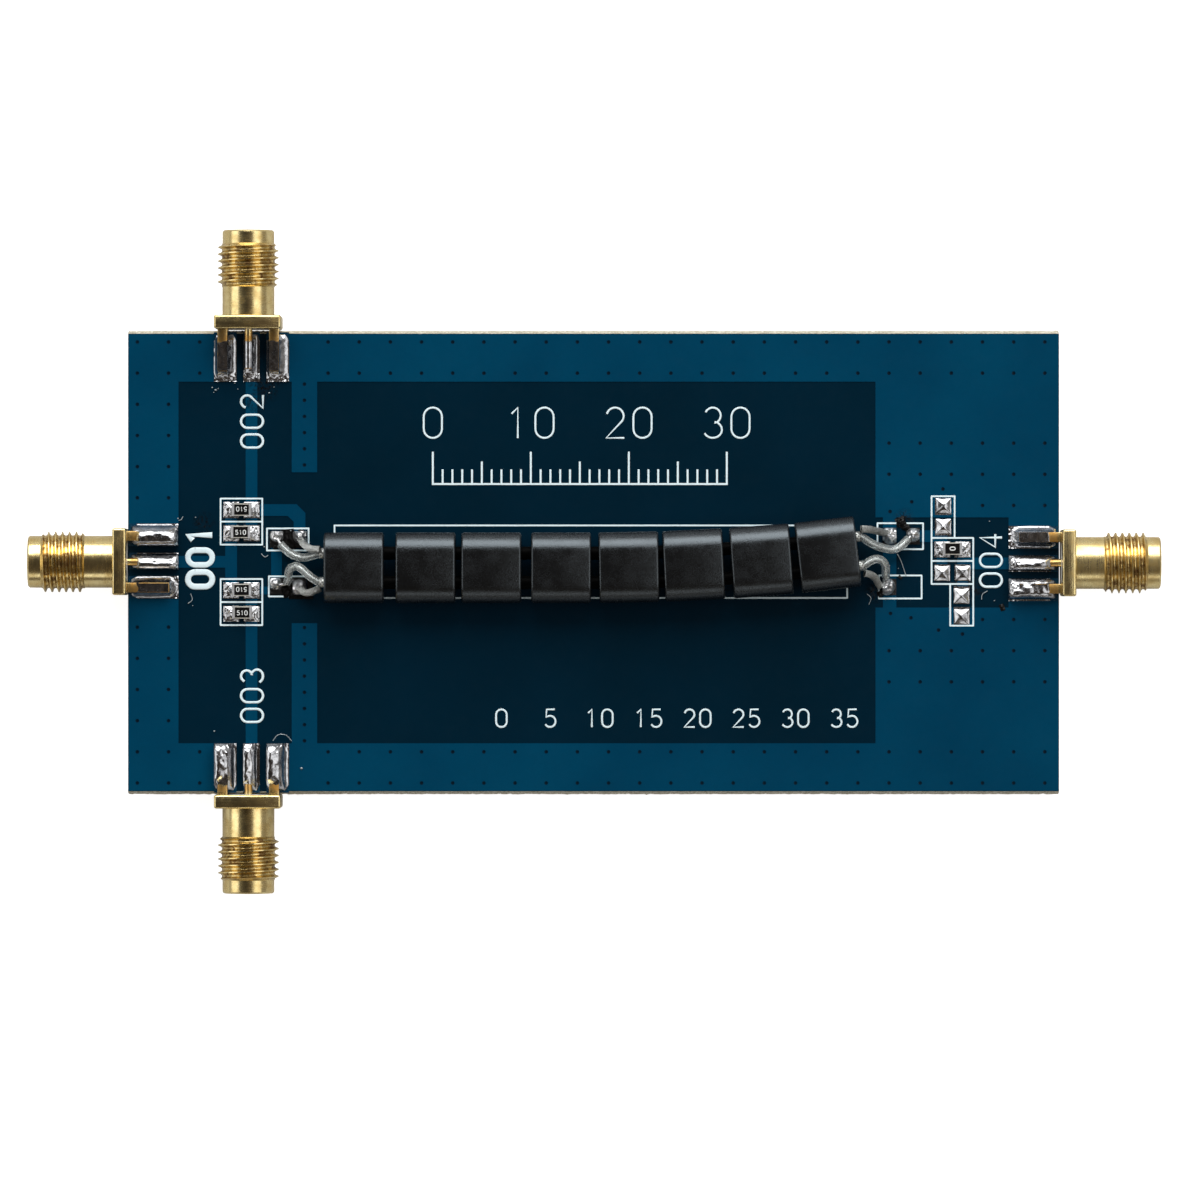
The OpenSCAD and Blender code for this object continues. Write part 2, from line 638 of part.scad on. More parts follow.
// Three joints over the board and two under it, kept to their pads and open round the legs
module jack_solder(j) {
    climb = 0.85;
    top_h = climb * leg_h;
    low_h = climb * lower_leg_h;
    color(SOLDER) placed() difference() {
        union() {
            intersection() {
                at_jack(j) translate([0, 0, pad_top - axis_z]) {
                    for (s = [-1, 1]) mound(j, s * leg_y, leg_w, top_h, leg_l);
                    mound(j, 0, pin_d * 0.9, pin_d * 0.75, pin_l);
                }
                translate([0, 0, pad_top]) linear_extrude(axis_z) jack_pads_2d(j);
            }
            intersection() {
                at_jack(j) translate([0, 0, foil_bottom - axis_z]) mirror([0, 0, 1])
                    for (s = [-1, 1]) mound(j, s * leg_y, leg_w, low_h, leg_l);
                translate([0, 0, foil_bottom - axis_z]) linear_extrude(axis_z) jack_pads_2d(j, false);
            }
        }
        at_jack(j) {
            legs();
            rod(-pin_l, 0, pin_d);
        }
    }
}

// A two-hole core: a flat body with full round sides, bevelled at both ends
module core(i) {
    p = core_at(i);
    r = core_h / 2;
    half = core_l / 2;
    e = half - core_bevel;
    slab = [[-half, core_bevel], [-e, 0], [e, 0], [half, core_bevel],
        [half, core_h - core_bevel], [e, core_h], [-e, core_h], [-half, core_h - core_bevel]];
    side = [[0, -half], [r - core_bevel, -half], [r, -e], [r, e], [r - core_bevel, half], [0, half]];
    turn = [0, 0, core_heads[i]];
    color("dimgray") placed() translate([p[0], p[1], core_floor]) rotate(turn) difference() {
        union() {
            translate([0, core_hole_y, 0]) rotate([90, 0, 0]) linear_extrude(2 * core_hole_y) polygon(slab);
            for (s = [-1, 1]) translate([0, s * core_hole_y, r]) rotate([0, 90, 0])
                rotate_extrude() polygon(side);
        }
        for (s = [-1, 1]) translate([0, s * core_hole_y, r]) rod(-half - 0.1, half + 0.1, core_bore);
    }
}

// The parts of a coaxial line. Point left is where its braid starts, and right is where it ends
module braid(route, left, right, t) {
    color("lightgray") placed() {
        tube(route, left, right, braid_d, dielectric_d);
        tube(left_points(left_tails[t]), 0, len(left_tails[t]) - 1, tail_d);
        tube(right_points(right_tails[t]), 0, len(right_tails[t]) - 1, tail_d);
    }
}

module jacket(route, left, right) {
    color("dimgray") placed() tube(route, left, right, jacket_d, braid_d);
}

module dielectric(route) {
    last = len(route) - 1 - bare_points;
    color("gainsboro") placed() tube(route, bare_points, last, dielectric_d, conductor_d);
}

module conductor(route) {
    color("darkgray") placed() tube(route, 0, len(route) - 1, conductor_d);
}

// Points of a route where its braid ends, in front of the row; the jacket starts one point further in
function braid_left(end_list) = len(end_list) - 1;
function braid_right(route, end_list) = len(route) - len(end_list);

// The last stretches of wire that a joint has to leave room for
module wire_tips(left) {
    for (route = [upper_route, lower_route]) {
        n = len(route) - 1;
        from = left ? 0 : n - bare_points;
        tube(route, from, from + bare_points, conductor_d);
        skin_from = left ? bare_points : n - bare_points - 2;
        tube(route, skin_from, skin_from + 2, dielectric_d);
    }
    for (t = left ? left_tails : right_tails) {
        n = len(t) - 1;
        tube(left ? left_points(t) : right_points(t), n - 3, n, tail_d);
    }
}

// Domes of solder, each kept to its pad
module wire_solder(joints, pads, left) {
    color(SOLDER) placed() difference() {
        intersection() {
            for (q = joints) {
                r = (q[2] * q[2] + q[3] * q[3]) / (2 * q[3]);
                translate([q[0], q[1], pad_top + q[3] - r]) sphere(r);
            }
            translate([0, 0, pad_top]) linear_extrude(core_h)
                for (p = pads) translate(p) square(coax_pad, center = true);
        }
        wire_tips(left);
    }
}

// A chip: a ceramic block, plated caps round its ends and a black coat on top
module at_chip(i) {
    p = chip_cells[i] + chip_slip[i];
    placed() translate([p[0], p[1], pad_top]) children();
}

module block(l, w, z1, z2) {
    translate([-l / 2, -w / 2, z1]) cube([l, w, z2 - z1]);
}

module chip_core() {
    block(chip_l - 2 * plating_t, chip_w - 2 * plating_t, plating_t, chip_h - plating_t);
}

module chip_ceramic(i) {
    color("ivory") at_chip(i) chip_core();
}

module chip_caps(i) {
    color(SOLDER) at_chip(i) difference() {
        for (s = [-1, 1]) translate([s * (chip_l - cap_l) / 2, 0, 0]) block(cap_l, chip_w, 0, chip_h);
        chip_core();
    }
}

module chip_coats() {
    color("black") for (i = [0:4]) at_chip(i)
        block(chip_l - 2 * cap_l, chip_w - 2 * coat_margin, chip_h - plating_t, chip_h + plating_t / 2);
}

// Solder from the toe of each pad up the end of its chip
module chip_solder() {
    toe = pad_off + chip_pad / 2 - 0.1;
    w = min(chip_w + 0.2, chip_pad - 0.3);
    climb = 0.8 * chip_h;
    color(SOLDER) for (i = [0:4]) at_chip(i) for (s = [-1, 1]) rotate([0, 0, s == 1 ? 0 : 180]) {
        foot = toe - s * chip_slip[i][0];
        translate([0, w / 2, 0]) rotate([90, 0, 0]) linear_extrude(w)
            polygon(concat([[chip_l / 2, 0]], hollow(foot, chip_l / 2, climb)));
    }
}

// A pillow of solder on each empty pad: two crossed barrel vaults
module spare_pad_solder() {
    side = chip_pad - 0.1;
    r = (side * side / 4 + pillow_h * pillow_h) / (2 * pillow_h);
    color(SOLDER) placed() for (c = spare_cells) translate([c[0], c[1], pad_top]) rotate([0, 0, c[2]])
        for (s = [-1, 1]) translate([s * pad_off, 0, 0]) intersection() {
            translate([-side / 2, -side / 2, 0]) cube([side, side, pillow_h]);
            translate([-side / 2, 0, pillow_h - r]) rotate([0, 90, 0]) cylinder(r = r, h = side);
            translate([0, side / 2, pillow_h - r]) rotate([90, 0, 0]) cylinder(r = r, h = side);
        }
}

CHIPS = ["resistor_1", "resistor_2", "resistor_3", "resistor_4", "link"];

laminate();
top_copper();
bottom_copper();
silkscreen();
top_pads();
bottom_pads();
for (j = [0:3]) {
    jack_body(j);
    insulator(j);
    contact(j);
    jack_solder(j);
}
for (i = [0:last_core]) core(i);
jacket(upper_route, braid_left(upper_left_end) + 1, braid_right(upper_route, upper_right_end) - 1);  // upper_jacket
jacket(lower_route, braid_left(lower_left_end) + 1, braid_right(lower_route, lower_right_end) - 1);  // lower_jacket
braid(upper_route, braid_left(upper_left_end), braid_right(upper_route, upper_right_end), 0);  // upper_braid
braid(lower_route, braid_left(lower_left_end), braid_right(lower_route, lower_right_end), 1);  // lower_braid
dielectric(upper_route);  // upper_dielectric
dielectric(lower_route);  // lower_dielectric
conductor(upper_route);  // upper_conductor
conductor(lower_route);  // lower_conductor
wire_solder(left_joints, left_pads, true);  // left_wire_solder
wire_solder(right_joints, right_pads, false);  // right_wire_solder
for (i = [0:4]) {
    chip_ceramic(i);
    chip_caps(i);
}
chip_coats();
chip_solder();
spare_pad_solder();
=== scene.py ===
import math

import bmesh
import bpy
from mathutils import Matrix, Vector, noise


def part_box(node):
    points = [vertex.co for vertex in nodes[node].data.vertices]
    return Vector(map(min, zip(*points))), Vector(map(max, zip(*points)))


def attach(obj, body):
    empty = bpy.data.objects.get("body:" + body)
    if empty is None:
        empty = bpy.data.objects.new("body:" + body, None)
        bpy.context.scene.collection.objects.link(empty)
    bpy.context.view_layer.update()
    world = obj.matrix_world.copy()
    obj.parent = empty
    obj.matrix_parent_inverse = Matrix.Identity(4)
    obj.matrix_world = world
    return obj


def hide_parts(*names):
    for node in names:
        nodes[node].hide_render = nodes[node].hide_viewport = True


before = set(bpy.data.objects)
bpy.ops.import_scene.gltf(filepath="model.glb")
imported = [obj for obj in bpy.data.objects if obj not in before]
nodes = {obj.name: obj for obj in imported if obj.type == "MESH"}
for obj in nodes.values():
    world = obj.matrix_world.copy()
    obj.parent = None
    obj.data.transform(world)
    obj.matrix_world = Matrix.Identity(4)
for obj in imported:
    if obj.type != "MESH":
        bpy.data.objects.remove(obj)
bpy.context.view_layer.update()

print("frame loaded:", len(nodes), "nodes")

# Pieces are modelled in millimetres and become metres when they are settled
toMetres = Matrix.Scale(0.001, 4)


def boxOf(node):
    return [Vector(corner) * 1000 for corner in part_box(node)]


# Middle of the board as seen from the origin, the levels of its layers and how far its pads reach inwards
low, high = boxOf("laminate")
board = {"middle": tuple((low + high) / 2)[:2], "length": high.x - low.x, "width": high.y - low.y,
         "bottom": low.z, "top": high.z, "padTop": boxOf("top_pads")[1].z, "rim": 5.15,
         "underside": boxOf("bottom_copper")[0].z, "axis": sum(boxOf("input_jack_body"), Vector()).z / 2}


# Hand tools
def pick(*chosen):
    bpy.ops.object.select_all(action="DESELECT")
    for obj in chosen:
        obj.select_set(True)
    bpy.context.view_layer.objects.active = chosen[-1]


# A plain shape to start from, alone in the selection
def fresh(primitive, **values):
    bpy.ops.object.select_all(action="DESELECT")
    primitive(**values)
    return bpy.context.object


def newObject(name, data):
    obj = bpy.data.objects.new(name, data)
    bpy.context.scene.collection.objects.link(obj)
    return obj


def copyOf(obj):
    return newObject("copy", obj.data.copy())


def editOn(obj, mode="FACE"):
    pick(obj)
    bpy.ops.object.mode_set(mode="EDIT")
    bpy.ops.mesh.select_mode(type=mode)
    bpy.ops.mesh.select_all(action="DESELECT")


def editOff():
    bpy.ops.object.mode_set(mode="OBJECT")


# Turns all faces outward and leaves the mesh
def editDone():
    bpy.ops.mesh.select_all(action="SELECT")
    bpy.ops.mesh.normals_make_consistent(inside=False)
    editOff()


# Selects the edges or faces that pass a test
def choose(obj, kind, test):
    sheet = bmesh.from_edit_mesh(obj.data)
    for part in getattr(sheet, kind):
        part.select_set(bool(test(part)))
    bmesh.update_edit_mesh(obj.data)


def modify(obj, kind, **values):
    step = obj.modifiers.new(kind.lower(), kind)
    for key, value in values.items():
        setattr(step, key, value)
    pick(obj)
    bpy.ops.object.modifier_apply(modifier=step.name)


def carve(obj, tool, way="DIFFERENCE"):
    modify(obj, "BOOLEAN", object=tool, operation=way, solver="EXACT")
    bpy.data.objects.remove(tool)


def weld(obj):
    editOn(obj)
    bpy.ops.mesh.select_all(action="SELECT")
    bpy.ops.mesh.remove_doubles(threshold=0.0005)
    editDone()


# Closes an open sheet: its rim moves by a step, then to a level if there is one, and is filled
def closeSheet(obj, step, level=None):
    editOn(obj, "EDGE")
    bpy.ops.mesh.select_non_manifold()
    bpy.ops.mesh.extrude_edges_move(TRANSFORM_OT_translate={"value": step})
    if level is not None:
        sheet = bmesh.from_edit_mesh(obj.data)
        for vert in sheet.verts:
            if vert.select:
                vert.co.z = level
        bmesh.update_edit_mesh(obj.data)
    bpy.ops.mesh.edge_face_add()
    editDone()


def joinUp(pieces, name):
    pick(*pieces)
    if len(pieces) > 1:
        bpy.ops.object.join()
    obj = bpy.context.object
    obj.name = name
    obj.data.name = name
    return obj


# Pieces become one: its place goes into its mesh, and it gets its finish and rides on the part
def settle(pieces, name, look, slot, stands=(), where=Matrix(), smooth=0):
    obj = joinUp(pieces, name)
    if smooth:
        bpy.ops.object.shade_smooth_by_angle(angle=math.radians(smooth))
    obj.data.transform(toMetres @ where)
    obj.data.update()
    obj.data.materials.clear()
    obj.data.materials.append(finish[look])
    if stands:
        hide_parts(*stands)
    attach(obj, "root")


# A place on the board, given from the board's middle
def onBoard(x, y, z=0.0):
    return Vector((x + board["middle"][0], y + board["middle"][1], z))


def turnZ(degrees):
    return Matrix.Rotation(math.radians(degrees), 4, "Z")


def ease(t):
    t = max(0.0, min(1.0, t))
    return t * t * (3 - 2 * t)


def softMax(a, b, width):
    gap = abs(a - b)
    return max(a, b) + ((width - gap) ** 2 / (4 * width) if gap < width else 0)


def rough(x, y, scale, seed):
    return noise.noise(Vector((x * scale + seed, y * scale - seed, 3.7 * seed)))


# A shader with what feeds it. Its patterns are in millimetres, and a colour is three numbers or an output
class Shader:
    def __init__(self, owner, main):
        owner.use_nodes = True
        self.owner = owner
        self.tree = owner.node_tree
        self.main = self.tree.nodes[main]

    def add(self, kind, inputs=None, **values):
        node = self.tree.nodes.new("ShaderNode" + kind)
        for key, value in values.items():
            setattr(node, key, value)
        for key, value in (inputs or {}).items():
            if isinstance(value, bpy.types.NodeSocket):
                self.tree.links.new(value, node.inputs[key])
            else:
                node.inputs[key].default_value = value
        return node

    def feed(self, socket, value):
        self.tree.links.new(value, self.main.inputs[socket])

    # Object coordinates in millimetres, stretched along each axis
    def place(self, stretch=(1, 1, 1)):
        where = self.add("TexCoord").outputs["Object"]
        return self.add("Mapping", {"Vector": where, "Scale": [1000 * s for s in stretch]}).outputs[0]

    def grain(self, scale, detail=3.0, roughness=0.55, distortion=0.0, stretch=(1, 1, 1)):
        return self.add("TexNoise", {"Vector": self.place(stretch), "Scale": scale, "Detail": detail,
                                     "Roughness": roughness, "Distortion": distortion}).outputs[0]

    def span(self, value, low, high, toLow=0.0, toHigh=1.0):
        return self.add("MapRange", {"Value": value, "From Min": low, "From Max": high,
                                     "To Min": toLow, "To Max": toHigh}).outputs[0]

    def maths(self, way, a, b=0.0):
        return self.add("Math", {0: a, 1: b}, operation=way).outputs[0]

    def plus(self, a, b):
        return self.maths("ADD", a, b)

    def minus(self, a, b):
        return self.maths("SUBTRACT", a, b)

    def times(self, a, b):
        return self.maths("MULTIPLY", a, b)

    # How far a value lies from a middle
    def off(self, value, middle):
        return self.maths("ABSOLUTE", self.minus(value, middle))

    def vector(self, way, a, b=(0, 0, 0)):
        number = way in ("DISTANCE", "DOT_PRODUCT", "LENGTH")
        return self.add("VectorMath", {0: a, 1: b}, operation=way).outputs["Value" if number else "Vector"]

    def axes(self, value):
        return self.add("SeparateXYZ", {0: value}).outputs

    def blend(self, share, a, b):
        colours = [c if isinstance(c, bpy.types.NodeSocket) else (*c, 1) for c in (a, b)]
        return self.add("Mix", {0: share, 6: colours[0], 7: colours[1]}, data_type="RGBA").outputs[2]

    # From one colour to another where a value goes from low to high
    def shade(self, value, low, high, a, b, most=1.0):
        return self.blend(self.span(value, low, high, 0, most), a, b)

    def relief(self, height, strength, distance, under=None):
        inputs = {"Height": height, "Strength": strength, "Distance": distance}
        if under is not None:
            inputs["Normal"] = under
        out = self.add("Bump", inputs).outputs[0]
        self.feed("Normal", out)
        return out

    # How near a point is to any of the given places, 1 at the place and 0 at its reach
    def nearTo(self, places):
        total = None
        for x, y, z, reach in places:
            share = self.span(self.vector("DISTANCE", self.place(), (x, y, z)), reach, reach * 0.25)
            total = share if total is None else self.maths("MAXIMUM", total, share)
        return total


# Finishes
def newFinish(name, **values):
    s = Shader(bpy.data.materials.new(name), "Principled BSDF")
    for key, value in values.items():
        s.main.inputs[key.replace("_", " ")].default_value = value
    return s


lacquer = {
    "overCopper": (0.0003, 0.054, 0.113), "overCopperDark": (0.0002, 0.044, 0.096),
    "overBare": (0.0006, 0.0155, 0.032), "overBareDark": (0.0005, 0.0125, 0.025),
    "fine": (0.0005, 0.02, 0.04), "dust": (0.06, 0.13, 0.17), "burnt": (0.004, 0.004, 0.004),
    "overPad": (0.001, 0.036, 0.078), "shine": (0.12, 0.25), "specular": 0.18,
    # x, y, height and reach of the places that the soldering iron marked
    "marks": [(31.6, 4.3, 2.85, 1.3), (28.6, -3.2, 2.85, 1.2), (-33.6, 18.0, 2.85, 2.0),
              (-34.6, 16.4, 2.85, 1.5), (-39.9, 3.9, 2.85, 1.4), (39.0, -2.6, 2.85, 1.3)]}


# Translucent lacquer: over copper it is a clear blue, over bare laminate nearly black
def lacquerFinish(name, ground, cloudFrom):
    s = newFinish(name, Specular_IOR_Level=lacquer["specular"])
    colour = s.shade(s.grain(0.07, 2), cloudFrom, 1 - cloudFrom, lacquer[ground], lacquer[ground + "Dark"])
    colour = s.shade(s.grain(2.2, 4, 0.7), 0.3, 0.8, colour, lacquer["fine"], 0.12)
    # Dust and lint caught in the film
    colour = s.shade(s.grain(5.5, 2, 0.6), 0.77, 0.82, colour, lacquer["dust"], 0.35)
    marks = s.times(s.nearTo(lacquer["marks"]), s.span(s.grain(1.6, 5, 0.7, 1.5), 0.46, 0.6))
    colour = s.blend(marks, colour, lacquer["burnt"])
    s.feed("Base Color", colour)
    gloss = s.span(s.grain(0.9, 4, 0.6), 0.3, 0.7, *lacquer["shine"])
    s.feed("Roughness", s.minus(gloss, s.times(marks, 0.15)))
    s.relief(s.plus(s.grain(0.8), s.times(marks, 2.5)), 0.25, 0.00003)
    return s, colour


# Glass cloth and resin along the scored edges and in their torn fibres
cloth = {"scored": {"deep": (0.33, 0.29, 0.2), "pale": (0.72, 0.7, 0.6), "layer": (0.2, 0.2, 0.15),
                    "layers": 0.5, "fibre": (6, 6, 3), "fineness": 0.7},
         "torn": {"deep": (0.4, 0.35, 0.24), "pale": (0.8, 0.78, 0.68), "layer": (0.26, 0.25, 0.18),
                  "layers": 0.4, "fibre": (7, 7, 3), "fineness": 0.75}}


def clothColour(s, look):
    fibre = s.grain(1, 4, look["fineness"], stretch=look["fibre"])
    cream = s.shade(fibre, 0.35, 0.7, look["deep"], look["pale"])
    layers = s.grain(1, stretch=(0.6, 0.6, 9))
    return s.shade(layers, 0.5, 0.62, cream, look["layer"], look["layers"]), fibre


# The laminate shows its lacquer from above and its pale cloth along the edges
def laminateFinish():
    s, colour = lacquerFinish("bareLacquer", "overBare", 0.3)
    place = s.axes(s.place())
    far = []
    for axis, side in ((0, board["length"]), (1, board["width"] - 0.4)):
        far.append(s.maths("GREATER_THAN", s.off(place[axis], board["middle"][axis]), side / 2 - 0.1))
    facing = s.axes(s.add("NewGeometry").outputs["Normal"])[2]
    level = s.maths("GREATER_THAN", s.maths("ABSOLUTE", facing), 0.8)
    edge = s.times(s.maths("MAXIMUM", *far), s.minus(1.0, level))
    s.feed("Base Color", s.blend(edge, colour, clothColour(s, cloth["scored"])[0]))
    return s


def tornFinish():
    s = newFinish("tornLaminate", Roughness=0.8)
    colour, fibre = clothColour(s, cloth["torn"])
    s.feed("Base Color", colour)
    s.relief(fibre, 0.6, 0.0001)
    return s


def inkFinish():
    s = newFinish("printedInk", Roughness=0.55)
    full, thin = (0.8, 0.95, 1.0), (0.42, 0.62, 0.7)
    s.feed("Base Color", s.shade(s.grain(3.5, 4, 0.7), 0.52, 0.78, full, thin, 0.6))
    s.relief(s.grain(9, 2), 0.3, 0.00002)
    return s


# The wire joints use a lighter copy of the solder colour, painted to make their glints brighter
solderLook = {"bright": (0.59, 0.6, 0.62), "dull": (0.24, 0.24, 0.25), "flux": (0.1, 0.06, 0.03),
              "lighterForGlints": (0.86, 0.87, 0.88), "soot": (0.003, 0.003, 0.003), "sootHigh": (0.16, 0.08)}


def solderFinish(name, light, shine, sooty=False):
    s = newFinish(name, Metallic=1.0)
    blotch, frost = s.grain(1.3, 4, 0.65), s.grain(7, 3, 0.6)
    colour = s.shade(blotch, 0.4, 0.7, solderLook[light], solderLook["dull"])
    colour = s.shade(s.grain(2.1, 5, 0.7, 0.8), 0.63, 0.72, colour, solderLook["flux"], 0.7)
    if sooty:
        # Soot lies on the low parts, round the joint
        level = s.plus(s.axes(s.place())[2], s.span(blotch, 0.3, 0.7, -0.12, 0.12))
        soot = s.span(level, *[board["padTop"] + high for high in solderLook["sootHigh"]])
        colour = s.blend(soot, colour, solderLook["soot"])
        s.feed("Metallic", s.minus(1.0, soot))
    s.feed("Base Color", colour)
    s.feed("Roughness", s.plus(s.span(blotch, 0.35, 0.7, *shine), s.span(frost, 0.45, 0.75, 0, 0.12)))
    s.relief(frost, 0.15, 0.00002, s.relief(blotch, 0.22, 0.0001))
    return s


def tinFinish(name, low, high, covered=0.0):
    s = newFinish(name, Metallic=1.0)
    blotch = s.grain(1.1, 4, 0.6)
    colour = s.shade(blotch, 0.4, 0.7, (0.74, 0.75, 0.77), (0.5, 0.5, 0.5))
    s.feed("Roughness", s.span(s.grain(5), 0.3, 0.7, low, high))
    s.relief(s.grain(2.5), 0.3, 0.00005)
    if covered:
        # Lacquer runs over the pads near the edges of the board
        offset = s.axes(s.vector("SUBTRACT", s.place(), onBoard(0, 0)))
        gaps = [s.minus(board[side] / 2, s.maths("ABSOLUTE", offset[axis]))
                for axis, side in enumerate(("length", "width"))]
        inwards = s.plus(s.maths("MINIMUM", *gaps), s.times(blotch, 0.4))
        share = s.span(inwards, covered + 0.3, covered + 0.2)
        colour = s.blend(share, colour, lacquer["overPad"])
        s.feed("Metallic", s.minus(1.0, share))
    s.feed("Base Color", colour)
    return s


ferrite = {"colour": (0.0038, 0.0038, 0.0041), "worn": (0.009, 0.009, 0.01), "dust": (0.05, 0.05, 0.053),
           "roughness": 0.19}


def ferriteFinish():
    # The bluish specular tint is a painted colour of the light in the ferrite's reflections
    s = newFinish("ferrite", Specular_IOR_Level=1.0, Specular_Tint=(0.8, 0.92, 1.0, 1))
    fine, broad = s.grain(11, 3, 0.7), s.grain(0.6, 3, 0.5)
    colour = s.shade(broad, 0.35, 0.7, ferrite["colour"], ferrite["worn"], 0.3)
    s.feed("Base Color", s.shade(s.grain(4.5, 3, 0.75), 0.7, 0.76, colour, ferrite["dust"], 0.8))
    shine = s.plus(s.span(broad, 0.3, 0.7, -0.05, 0.07), s.span(fine, 0.4, 0.6, -0.04, 0.1))
    s.feed("Roughness", s.plus(shine, ferrite["roughness"]))
    s.relief(s.grain(1, 3, 0.6, stretch=(0.5, 5, 5)), 0.12, 0.00004, s.relief(fine, 0.6, 0.00003))
    return s


# Woven tinned wire: two sets of strands that cross round the tube, on its own UV map
def braidFinish():
    s = newFinish("wovenBraid", Metallic=1.0, Roughness=0.3)
    uv = s.axes(s.add("TexCoord").outputs["UV"])
    strands = []
    for way in (1, -1):
        lean = s.plus(s.times(uv[0], 8.0), s.times(uv[1], way * 2.6))
        strands.append(s.maths("ABSOLUTE", s.maths("SINE", s.times(lean, math.pi))))
    weave = s.maths("MAXIMUM", *strands)
    # The holes between the crossing strands are painted dark: painted shade in the gaps of the weave
    colour = s.shade(weave, 0.3, 0.95, (0.07, 0.075, 0.07), (0.66, 0.68, 0.66))
    s.feed("Base Color", s.shade(s.grain(2.5, 4, 0.65), 0.5, 0.75, colour, (0.26, 0.27, 0.23), 0.45))
    s.relief(weave, 0.8, 0.00008)
    return s


def wireFinish():
    s = newFinish("platedWire", Metallic=1.0)
    blotch = s.grain(3, 4, 0.65)
    s.feed("Base Color", s.shade(blotch, 0.4, 0.75, (0.6, 0.61, 0.62), (0.4, 0.4, 0.39)))
    s.feed("Roughness", s.span(blotch, 0.3, 0.7, 0.16, 0.36))
    s.relief(s.grain(12, 2), 0.3, 0.00002)
    return s


def filmFinish():
    s = newFinish("clearDielectric", Roughness=0.06, IOR=1.36, Transmission_Weight=0.82)
    milky = s.grain(1.2, 3, 0.5)
    s.feed("Base Color", s.shade(milky, 0.35, 0.7, (0.84, 0.89, 0.87), (0.7, 0.75, 0.73)))
    s.relief(milky, 0.1, 0.00003)
    return s


def plainFinish(name, light, dark, roughness, specular=0.5, bump=0.00002, scale=6.0):
    s = newFinish(name, Specular_IOR_Level=specular)
    fine = s.grain(scale, 4, 0.65)
    s.feed("Base Color", s.shade(fine, 0.35, 0.7, light, dark))
    s.feed("Roughness", s.span(fine, 0.3, 0.7, roughness - 0.06, roughness + 0.08))
    s.relief(fine, 0.3, bump)
    return s


looks = {
    "copper": lacquerFinish("copperLacquer", "overCopper", 0.35)[0], "laminate": laminateFinish(),
    "torn": tornFinish(), "ink": inkFinish(), "solder": solderFinish("handSolder", "bright", (0.12, 0.24)),
    # Wire joints: a lighter solder colour, painted for brighter glints
    "joint": solderFinish("wireSolder", "lighterForGlints", (0.24, 0.44), True),
    "tin": tinFinish("tinnedPad", 0.16, 0.34, 0.9), "caps": tinFinish("dullTin", 0.45, 0.65),
    "ferrite": ferriteFinish(), "braid": braidFinish(), "wire": wireFinish(), "film": filmFinish(),
    "insulator": plainFinish("whiteInsulator", (0.85, 0.85, 0.82), (0.72, 0.72, 0.68), 0.42),
    "chipCeramic": plainFinish("chipCeramic", (0.72, 0.7, 0.64), (0.5, 0.48, 0.42), 0.6),
    "jacket": plainFinish("blackJacket", (0.0012, 0.0012, 0.0012), (0.002, 0.002, 0.002), 0.5, 0.03),
    "lid": plainFinish("viaLacquer", (0.0003, 0.009, 0.02), (0.0003, 0.005, 0.012), 0.3, 0.15),
    "chipCoat": plainFinish("chipCoat", (0.004, 0.004, 0.0045), (0.009, 0.009, 0.009), 0.25, 0.3),
    "chipMark": plainFinish("chipMark", (0.95, 0.97, 0.95), (0.65, 0.68, 0.68), 0.5),
    "fleck": plainFinish("driedFlux", (0.5, 0.56, 0.58), (0.2, 0.25, 0.28), 0.3),
    "flux": plainFinish("burntFlux", (0.0012, 0.0012, 0.0012), (0.003, 0.003, 0.0028), 0.3, 0.25,
                        0.00005, 3.0)}
finish = {key: look.owner for key, look in looks.items()}
print("finishes made:", len(finish))


# Jacks
jack = {"flangeThick": 1.4, "flangeWide": 6.8, "flangeBevel": 0.22, "neckRadius": 2.65, "neckLong": 2.9,
        "crestRadius": 3.1, "rootRadius": 2.7, "threadLong": 4.45, "pitch": 0.7056, "turns": 8,
        "lead": 0.36, "steps": 80,
        # half of the thread's ridge from its foot up: how far from its middle and how high over the root
        "ridge": [(0.34, -0.04), (0.24, 0.02), (0.14, 0.14)], "ridgeTop": 0.045,
        # the chamfer of the tip: how far from its end and how deep
        "tipRadius": 2.65, "tipLong": 1.35, "tipEnd": [(0.17, 0), (0.05, 0.1), (0, 0.16)],
        "boreRadius": 2.05, "socketRadius": 2.3, "socketDeep": 1.9, "socketFlare": (0.15, 0.2),
        "legWide": 1.0, "legLong": 4.3, "legHigh": 1.15, "legY": 2.63, "legBevel": 0.08, "legGap": 0.03,
        "lowLegFrom": 0.27}
jackLong = jack["flangeThick"] + jack["neckLong"] + jack["threadLong"] + jack["tipLong"]


# A turned piece: a filled circle pushed along X through (x, radius) steps
def turned(steps, vertices=jack["steps"]):
    x, radius = steps[0]
    obj = fresh(bpy.ops.mesh.primitive_circle_add, vertices=vertices, radius=radius, fill_type="NGON",
                location=(x, 0, 0), rotation=(0, math.pi / 2, 0))
    bpy.ops.object.transform_apply(location=True, rotation=True, scale=True)
    bpy.ops.object.mode_set(mode="EDIT")
    bpy.ops.mesh.select_mode(type="FACE")
    bpy.ops.mesh.select_all(action="SELECT")
    for nextX, nextRadius in steps[1:]:
        bpy.ops.mesh.extrude_region_move(TRANSFORM_OT_translate={"value": (nextX - x, 0, 0)})
        share = nextRadius / radius
        if share != 1:
            bpy.ops.transform.resize(value=(1, share, share), center_override=(nextX, 0, 0))
        x, radius = nextX, nextRadius
    editDone()
    return obj


def bar(low, high, bevel, segments=2):
    size = [h - l for l, h in zip(low, high)]
    obj = fresh(bpy.ops.mesh.primitive_cube_add, size=1, location=[(l + h) / 2 for l, h in zip(low, high)],
                scale=size)
    bpy.ops.object.transform_apply(location=True, rotation=True, scale=True)
    if bevel:
        modify(obj, "BEVEL", width=bevel, segments=segments, limit_method="NONE")
    return obj


